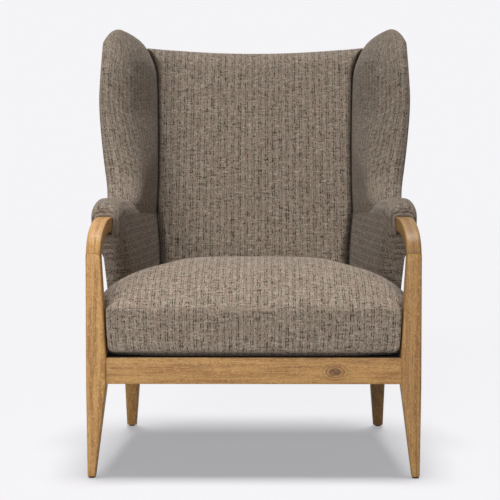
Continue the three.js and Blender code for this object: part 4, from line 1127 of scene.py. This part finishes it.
def cushion_place(u, v, w, wall=0.0):
    """A box cushion: the boxing stands on the plan's edge and bulges, the top rises over the
    seam by the crown, the sole sinks to the deck. What lies a wall inside it has no ears."""
    rounding = 0.0075 * round_drop(1.0 - share(w, 0.0, 0.14))
    rounding = rounding + 0.003 * round_drop(share(w, 0.92, 1.0))
    boxing = 0.0015 * (np.sin(math.pi * w) - 1) - wall - rounding
    square = 1 - 0.008 * np.abs(u * v) ** 14
    y = CUSHION_MIDDLE + v * square * (CUSHION_REACH + boxing)
    seam = mix(SEAM_LOW + wall, SEAM_HIGH - wall, w)
    x = u * square * (cushion_half(y, seam, wall <= 0.0) + boxing)
    across = np.sqrt(np.clip(1 - np.abs(u) ** 90, 0, None)) * (1.0 - 0.73 * np.abs(u) ** 5)
    down = np.clip(1 - np.abs(v) ** 2.2, 0, None) ** 0.8
    rise = sizes().crown * across * down
    sole = -0.0117 * np.minimum(1.0, 2.4 * (1 - np.abs(u) ** 6) * (1 - np.abs(v) ** 6))
    z = seam + np.where(w == 1.0, rise, np.where(w == 0.0, sole, 0.0))
    return stacked(x, y, z)


def cushion_shares(count):
    """Shares from -1 to 1, closer together towards both ends."""
    even = np.linspace(-1, 1, count)
    return mix(even, np.sin(even * math.pi / 2), 0.7)


def cushion_weave(axis, end, spots):
    """The ribs run front to back over the top and upright on the boxing."""
    if axis == 2:
        middle = spots.shape[0] // 2
        run = steps_along(spots, 0)
        start = SEAM_HIGH if end else -0.3
        return stacked(run - run[middle:middle + 1], start + steps_along(spots, 1))
    level = spots[:, 3 * spots.shape[1] // 4]
    run = level[0, 1 - axis] + steps_along(level, 0)
    return stacked(run[:, None], spots[..., 2])


def seat_cushion(cloth, foam):
    """The cushion's cover, its top blown up and a slot for the zip let into its rear boxing by
    a lip and a deeper floor; and its foam core."""
    top_place = with_swell(cushion_place, np.linspace(-1.0, 1.0, 45), np.linspace(-1.0, 1.0, 37),
                           sizes().plump)
    zip_end = ZIP_HALF / cushion_half(0.54, ZIP_LEVEL)
    zip_share = share(ZIP_LEVEL, SEAM_LOW, SEAM_HIGH)

    def cover_place(u, v, w):
        points = top_place(u, v, w)
        from_zip = np.abs(w - zip_share)
        slot = 0.0005 * (from_zip < 0.044) + 0.0026 * (from_zip < 0.0423)
        points[..., 1] -= slot * ((v == 1.0) & (np.abs(u) < zip_end))
        return points

    near_side = np.array([0.97, 0.98, 0.987, 0.995, 0.998])
    ends = zip_end + np.array([-0.0004, 0.0004])
    plan = np.unique(np.concatenate([cushion_shares(81), near_side, -near_side, ends, -ends]))
    depth = np.unique(np.concatenate([cushion_shares(75), np.linspace(-0.845, -0.745, 11)]))
    rows = np.array([0.0418, 0.0428, 0.0465])
    rise = np.unique(np.concatenate([
        [0.0, 0.012, 0.035, 0.07, 0.105, 0.14, 0.22, 0.34, 0.48, 0.62, 0.76, 0.88, 0.94, 0.98, 1.0],
        zip_share + rows, zip_share - rows]))
    cover = block_object("cushion_cloth", (plan, depth, rise), cover_place, cushion_weave,
                         body="seat_cushion", nodes=("seat_cushion_cover",), slot="tweed",
                         material=cloth, sharp=55.0)
    foam_shares = cushion_shares(31)
    block_object("cushion_foam", (foam_shares, foam_shares, np.linspace(0, 1, 5)),
                 lambda u, v, w: cushion_place(u, v, w, 0.0045), cushion_weave,
                 body="seat_cushion", nodes=("seat_cushion_core",), slot="foam", material=foam)


def seam_path(w):
    """The seam's line round the plan, 0.4 mm inside the boxing."""
    even = np.linspace(-1, 1, 120)[:-1]
    one = np.ones_like(even)
    u = np.concatenate([even, one, -even, -one])
    v = np.concatenate([-one, even, one, -even])
    line = cushion_place(u, v, np.full_like(u, w), 0.0004)
    line[:, 2] = mix(SEAM_LOW, SEAM_HIGH, w)
    return line


def piping(name, line, radius, body, cloth):
    """A thin roll: a circle carried along a closed line."""
    ahead, behind = np.roll(line, -1, axis=0), np.roll(line, 1, axis=0)
    along = ahead - behind
    along /= np.linalg.norm(along, axis=1, keepdims=True)
    out = np.cross(along, np.array([0.0, 0.0, 1.0]))
    out /= np.linalg.norm(out, axis=1, keepdims=True)
    turn = np.linspace(0.0, 2 * math.pi, 11)[:-1]
    circle = (np.cos(turn)[None, :, None] * out[:, None]
              + np.sin(turn)[None, :, None] * np.cross(out, along)[:, None])
    rings = line[:, None] + radius * circle
    n, m = rings.shape[:2]
    faces, grid = quads(n, m, wrap_u=True, wrap_v=True)
    run = np.concatenate([[0.0], np.cumsum(np.linalg.norm(ahead - line, axis=1))])
    uv = stacked(run[:, None] * 0.2, np.arange(m + 1) * radius * 0.6)
    mesh_object(name, rings, faces, uv.reshape(-1, 2)[grid.ravel()], body=body, slot="tweed",
                material=cloth)


def zip_chain(cloth, metal):
    """The zip in the rear boxing: a strip of tape and two rows of small teeth."""
    low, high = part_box("zip_tape")
    y, middle = low[1] - FRONT, (low[2] + high[2]) / 2
    us, ws = np.linspace(low[0], high[0], 90), np.linspace(low[2], high[2], 5)
    block_object("zip_strip", (us, BOTH_FACES, ws),
                 lambda u, v, w: stacked(u, y + 0.001 * v, w), laid(0, 2),
                 body="seat_cushion", nodes=("zip_tape",), slot="zip_cloth", material=cloth)
    corners = np.array([(a, b, c) for a in (-1, 1) for b in (-1, 1) for c in (-1, 1)], float)
    sides = np.array([(0, 1, 3, 2), (4, 6, 7, 5), (0, 4, 5, 1), (2, 3, 7, 6), (0, 2, 6, 4),
                      (1, 5, 7, 3)])
    x = np.arange(low[0] + 0.003, high[0] - 0.003, 0.0024)
    tooth = np.arange(len(x))
    centre = stacked(x, y + 0.0012, middle + 0.0007 * (-1.0) ** tooth)
    points = centre[:, None] + corners * np.array([0.0008, 0.0004, 0.0013])
    faces = sides[None] + 8 * tooth[:, None, None]
    mesh_object("zip_teeth", points, faces.reshape(-1, 4), body="seat_cushion", slot="steel",
                material=metal, merge=False)


def level_cloth(name, node, rows, between, count, height, cloth):
    """A flat cloth, straight between rows of y and half width; height gives z from the shares
    and y. It comes with its flat area."""
    y = np.unique(np.concatenate([rows[:, 0], between]))
    half = np.interp(y, rows[:, 0], rows[:, 1])

    def place(u, v, w):
        index = np.rint(v * (len(y) - 1)).astype(int)
        return stacked(u * half[index], y[index], height(u, v, w, y[index]))

    counts = np.linspace(-1, 1, count), np.linspace(0, 1, len(y)), BOTH_FACES
    obj = block_object(name, counts, place, laid(0, 1), nodes=(node,), slot="black_cloth",
                       material=cloth)
    return obj, float(np.sum((half[1:] + half[:-1]) * np.diff(y)))


def deck(cloth):
    """The black deck: a slab in the rebate with a flap over the front rail's top edge. The flap
    darkens the line under the cushion's front: partly real deck cloth, partly painted shade
    standing for the shadow there. Each row has y, half width, underside and top."""
    rows = np.array([(0.006, 0.3255, 0.269, 0.2702), (0.013, 0.3255, 0.269, 0.2702),
                     (0.0195, 0.3255, 0.269, 0.2692), (0.0275, 0.3255, 0.2688, 0.26915),
                     (0.0296, 0.3255, 0.2613, 0.2688), (0.0475, 0.3255, 0.2613, 0.2687),
                     (0.049, 0.3405, 0.2613, 0.2687), (0.607, 0.3245, 0.2613, 0.2687),
                     (0.6085, 0.3045, 0.2613, 0.2687), (0.6405, 0.3045, 0.2613, 0.2687)])

    def height(u, v, w, y):
        return mix(np.interp(y, rows[:, 0], rows[:, 2]), np.interp(y, rows[:, 0], rows[:, 3]), w)

    obj, _ = level_cloth("deck_cloth", "seat_deck", rows, np.linspace(0.05, 0.6, 24), 21, height,
                         cloth)


def dust_sheet(cloth):
    """Thin cloth stretched under the seat frame, notched round the legs and posts, with a
    slight sag in the middle."""
    rows = np.array([(0.013, 0.3262), (0.0472, 0.3262), (0.0484, 0.3569), (0.6335, 0.3412),
                     (0.6347, 0.3045), (0.657, 0.3045)])

    def height(u, v, w, y):
        return 0.2096 - 0.0006 * (1 - w) - 0.004 * (1 - u * u) * np.sin(math.pi * v)

    obj, area = level_cloth("dust_sheet", "dust_cover", rows, np.linspace(0.05, 0.63, 30), 31,
                            height, cloth)


def seat_straps(cloth):
    """Seat webbing: five straps front to back and four across, each rising over one and dipping
    under the next in a cosine wave."""
    runs, crosses = np.linspace(-1.0, 1.0, 5) * 0.244, np.linspace(0.1303, 0.548, 4)
    across_strap = 0.025 * np.array([-1, 0, 1])

    def wave(at, knots, flip):
        index = np.interp(at, knots, np.arange(len(knots)))
        return 0.2598 + flip * 0.0007 * np.cos(math.pi * index)

    y = np.linspace(0.0188, 0.6512, 60)[:, None]
    sheets = [(x + across_strap, y, wave(y, crosses, (-1.0) ** k)) for k, x in enumerate(runs)]
    for k, middle in enumerate(crosses):
        x = np.linspace(-1.0, 1.0, 60)[:, None] * (side_rail_outer(middle) - 0.0143)
        sheets.append((x, middle + across_strap, wave(x, runs, -((-1.0) ** k))))
    strap_object("webbing", sheets, (0.0, 0.0, 1.0), 0.0010, ("seat_webbing",), cloth)


def back_straps(cloth):
    """Four upright straps that lie on the leaning posts' front faces."""
    z = np.linspace(0.359, 0.998, 30)[:, None]
    sheets = [(x + 0.03 * np.array([-1, 0, 1]), post_front(z) + 0.0006, z)
              for x in np.linspace(-0.165, 0.165, 4)]
    strap_object("back_webbing", sheets, (0.0, 1.0, 0.0), 0.0018,
                 tuple(f"back_strap_{i}" for i in range(1, 5)), cloth)


def strap_object(name, sheets, up, thickness, nodes, cloth):
    """Flat straps: each centre sheet is doubled to its thickness and closed round the edge."""
    points, faces, start = [], [], 0
    half = np.array(up) * thickness / 2
    for sheet in sheets:
        sheet = stacked(*sheet)
        n, m = sheet.shape[:2]
        index, _ = quads(n, m)
        ring = np.concatenate([np.arange(n) * m, (n - 1) * m + np.arange(1, m),
                               np.arange(n - 1)[::-1] * m + m - 1, np.arange(1, m - 1)[::-1]])
        after = np.roll(ring, -1)
        rim = np.stack([ring, after, after + n * m, ring + n * m], axis=1)
        points.append(np.stack([sheet - half, sheet + half]).reshape(-1, 3))
        faces.append(np.concatenate([index, index[:, ::-1] + n * m, rim]) + start)
        start += 2 * n * m
    mesh_object(name, np.concatenate(points), np.concatenate(faces), nodes=nodes, slot="webbing",
                material=cloth, merge=False, sharp=30.0)


# Operators: one for each piece or group of like pieces, and one for the stage


class ChairOperator(Operator):
    bl_options = {"REGISTER", "UNDO"}


class CHAIR_OT_legs(ChairOperator):
    """Front legs, bent arms, back posts and rails in oak"""
    bl_idname = "chair.legs"
    bl_label = "Oak frame"

    def execute(self, context):
        # Painted shade: the right side's oak is darker than the left's because the light falls from
        # the left, and the arms, the rear posts and the rails that share their oak are set darker
        # too.
        legs, arms = oak_shaded_copies("oak", (0.78, 0.98)), oak_shaded_copies("oak_arm", (0.56, 0.92))
        rear = oak_shaded_copies("oak_rear", (0.4, 0.76))
        for side, way in SIDES:
            front_leg(side, way, legs[side])
            arm_rail(side, way, arms[side])
            back_post(side, way, rear[side])
        knotty = oak("oak_rail", 0.89, knot=(0.181, 0.237))
        cross_rail("rail_front", "front_rail", 0.327, 0.004, 1.0, 0.0, knotty)
        cross_rail("rail_rear", "rear_rail", 0.306, 0.666, -1.0, 0.7, rear["left"])
        for side, way in SIDES:
            side_rail(side, way, rear[side])
        return {"FINISHED"}


class CHAIR_OT_glides(ChairOperator):
    """Turned plastic glides under the four feet"""
    bl_idname = "chair.glides"
    bl_label = "Glides"

    def execute(self, context):
        plastic = plastic_material()
        for side, way in SIDES:
            glide(f"glide_front_{side}", way * 0.3605, 0.011, plastic)
            glide(f"glide_rear_{side}", way * 0.3395, 0.739, plastic)
        return {"FINISHED"}


class CHAIR_OT_sides(ChairOperator):
    """Wings, padded sides and the outside panels over them"""
    bl_idname = "chair.sides"
    bl_label = "Wings and sides"

    def execute(self, context):
        # Painted shade: the right side's tweed is darker because the light falls from the left, and
        # the sides' tweed, which also covers the inner faces, is darker than the wings'.
        wings = tweed_shaded_copies("tweed_wing", (0.79, 0.92))
        sides = tweed_shaded_copies("tweed_side", (0.72, 0.87))
        for side, way in SIDES:
            wing(side, way, wings[side])
            side_cloth(side, way, sides[side])
            outside_wing(side, way, wings[side])
            outside_side(side, way, wings[side])
        return {"FINISHED"}


class CHAIR_OT_back(ChairOperator):
    """Padded inside back and the covered outside back"""
    bl_idname = "chair.back"
    bl_label = "Back"

    def execute(self, context):
        # The back's shade of 0.93 against the seat's 1.06 is partly the nap's own difference and
        # partly painted shade.
        cloth = tweed("tweed_back", sizes().back_pitch, 0.93)
        inside_back(cloth)
        outside_back_panel(cloth)
        return {"FINISHED"}


class CHAIR_OT_cushion(ChairOperator):
    """Crowned seat cushion with its foam, seam rolls and zip"""
    bl_idname = "chair.cushion"
    bl_label = "Seat cushion"

    def execute(self, context):
        # The seat's shade of 1.06 against the back's 0.93 is partly the nap's own difference and
        # partly painted light on the top.
        cloth = tweed("tweed_seat", sizes().seat_pitch, 1.06)
        seat_cushion(cloth, foam_material())
        for name, w in (("seam_roll_low", 0.0), ("seam_roll_high", 1.0)):
            piping(name, seam_path(w), sizes().welt, "seat_cushion", cloth)
        zip_chain(woven("zip_tape_cloth", colours().zip_cloth), metal_material())
        return {"FINISHED"}


class CHAIR_OT_hidden(ChairOperator):
    """Deck, dust cover, webbing, and finishes for the hidden frame"""
    bl_idname = "chair.hidden"
    bl_label = "Deck, webbing and hidden frame"

    def execute(self, context):
        black = woven("black_cloth", colours().black_cloth)
        deck(black)
        dust_sheet(black)
        web = woven("web_cloth", colours().webbing)
        seat_straps(web)
        back_straps(web)
        beech, steel = plain_wood("beech", colours().beech), metal_material()
        for name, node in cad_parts.items():
            if node.hide_render:
                continue
            look = steel if "screw" in name or "zip" in name else beech
            node.data.materials.clear()
            node.data.materials.append(look)
        return {"FINISHED"}


def floor_object():
    """A wide floor that takes the chair's shadow and adds its own glow where it is seen."""
    mesh = bpy.data.meshes.new("floor")
    mesh.from_pydata([(-30, -12, 0), (30, -12, 0), (30, 60, 0), (-30, 60, 0)], [], [(0, 1, 2, 3)])
    floor = bpy.data.objects.new("floor", mesh)
    bpy.context.scene.collection.objects.link(floor)
    p = Paint("floor", base_color=colours().floor, roughness=1.0, specular_ior_level=0.0,
              emission_strength=1.0)
    p.set(emission_color=p.blend(p.shown(), (0.0, 0.0, 0.0), colours().floor_glow))
    mesh.materials.append(p.material)
    return floor


def pale_world():
    """The room's light for the chair, and the pale backdrop for the rays that show it."""
    world = bpy.data.worlds.new("world")
    nodes = Nodes(world)
    room = nodes.tree.nodes["Background"]
    nodes.put(room.inputs["Color"], colours().room_light)
    seen = nodes.node("ShaderNodeBackground", None, {"Color": colours().backdrop})
    both = nodes.node("ShaderNodeMixShader", None, {
        "Fac": nodes.shown(), 1: Wire(nodes, room.outputs["Background"]), 2: seen})
    nodes.put(nodes.tree.nodes["World Output"].inputs["Surface"], both)
    return world


def lamp(name, kind, place, aim, **settings):
    """A lamp at its place that shines the way of the aim."""
    light = bpy.data.lights.new(name, kind)
    for key, value in settings.items():
        setattr(light, key, value)
    holder = bpy.data.objects.new(name, light)
    holder.location = place
    holder.rotation_mode = "QUATERNION"
    holder.rotation_quaternion = Vector(aim).to_track_quat("-Z", "Y")
    bpy.context.scene.collection.objects.link(holder)
    return holder


class CHAIR_OT_stage(ChairOperator):
    """Pale floor and background, lamps and camera"""
    bl_idname = "chair.stage"
    bl_label = "Stage"

    def execute(self, context):
        floor = floor_object()
        context.scene.world = pale_world()
        lamp("top", "SUN", (0.0, 0.0, 0.0), (0.0, -0.06, -1.0), energy=2.85,
             angle=math.radians(22.0))
        lamp("front", "SUN", (0.0, 0.0, 0.0), (0.16, 1.0, -0.15), energy=1.62,
             angle=math.radians(36.0))
        key_place = Vector((-1.35, FRONT - 1.25, 1.25))
        key = lamp("key", "AREA", key_place, Vector((0.1, 0.0, 0.6)) - key_place, energy=12.5,
                   shape="DISK", size=0.9)
        unlit = bpy.data.collections.new("unlit")
        unlit.objects.link(floor)
        unlit.collection_objects[0].light_linking.link_state = "EXCLUDE"
        key.light_linking.receiver_collection = unlit
        lens = bpy.data.cameras.new("camera")
        lens.lens, lens.sensor_width = 97.76, 36.0
        camera = bpy.data.objects.new("camera", lens)
        camera.location = (0.015, FRONT - 3.0, 0.5966)
        camera.rotation_euler = (math.radians(90.0 - 1.69), 0.0, math.radians(0.437))
        context.scene.collection.objects.link(camera)
        context.scene.camera = camera
        context.scene.view_settings.view_transform = "Standard"
        return {"FINISHED"}


OPERATORS = (CHAIR_OT_legs, CHAIR_OT_glides, CHAIR_OT_sides, CHAIR_OT_back, CHAIR_OT_cushion,
             CHAIR_OT_hidden, CHAIR_OT_stage)


class CHAIR_PT_panel(Panel):
    bl_idname = "CHAIR_PT_panel"
    bl_label = "Fireside chair"
    bl_space_type = "VIEW_3D"
    bl_region_type = "UI"
    bl_category = "Chair"

    def draw(self, context):
        for operator in OPERATORS:
            self.layout.operator(operator.bl_idname)
        for group in (context.scene.chair_sizes, context.scene.chair_colours):
            column = self.layout.column()
            for name in group.bl_rna.properties.keys():
                if name not in {"rna_type", "name"}:
                    column.prop(group, name)


CLASSES = (ChairSizes, ChairColours, *OPERATORS, CHAIR_PT_panel)


def register():
    for cls in CLASSES:
        bpy.utils.register_class(cls)
    bpy.types.Scene.chair_sizes = PointerProperty(type=ChairSizes)
    bpy.types.Scene.chair_colours = PointerProperty(type=ChairColours)


def unregister():
    del bpy.types.Scene.chair_sizes
    del bpy.types.Scene.chair_colours
    for cls in reversed(CLASSES):
        bpy.utils.unregister_class(cls)


def main():
    register()
    for operator in OPERATORS:
        area, name = operator.bl_idname.split(".")
        getattr(getattr(bpy.ops, area), name)()


if __name__ == "__main__":
    main()
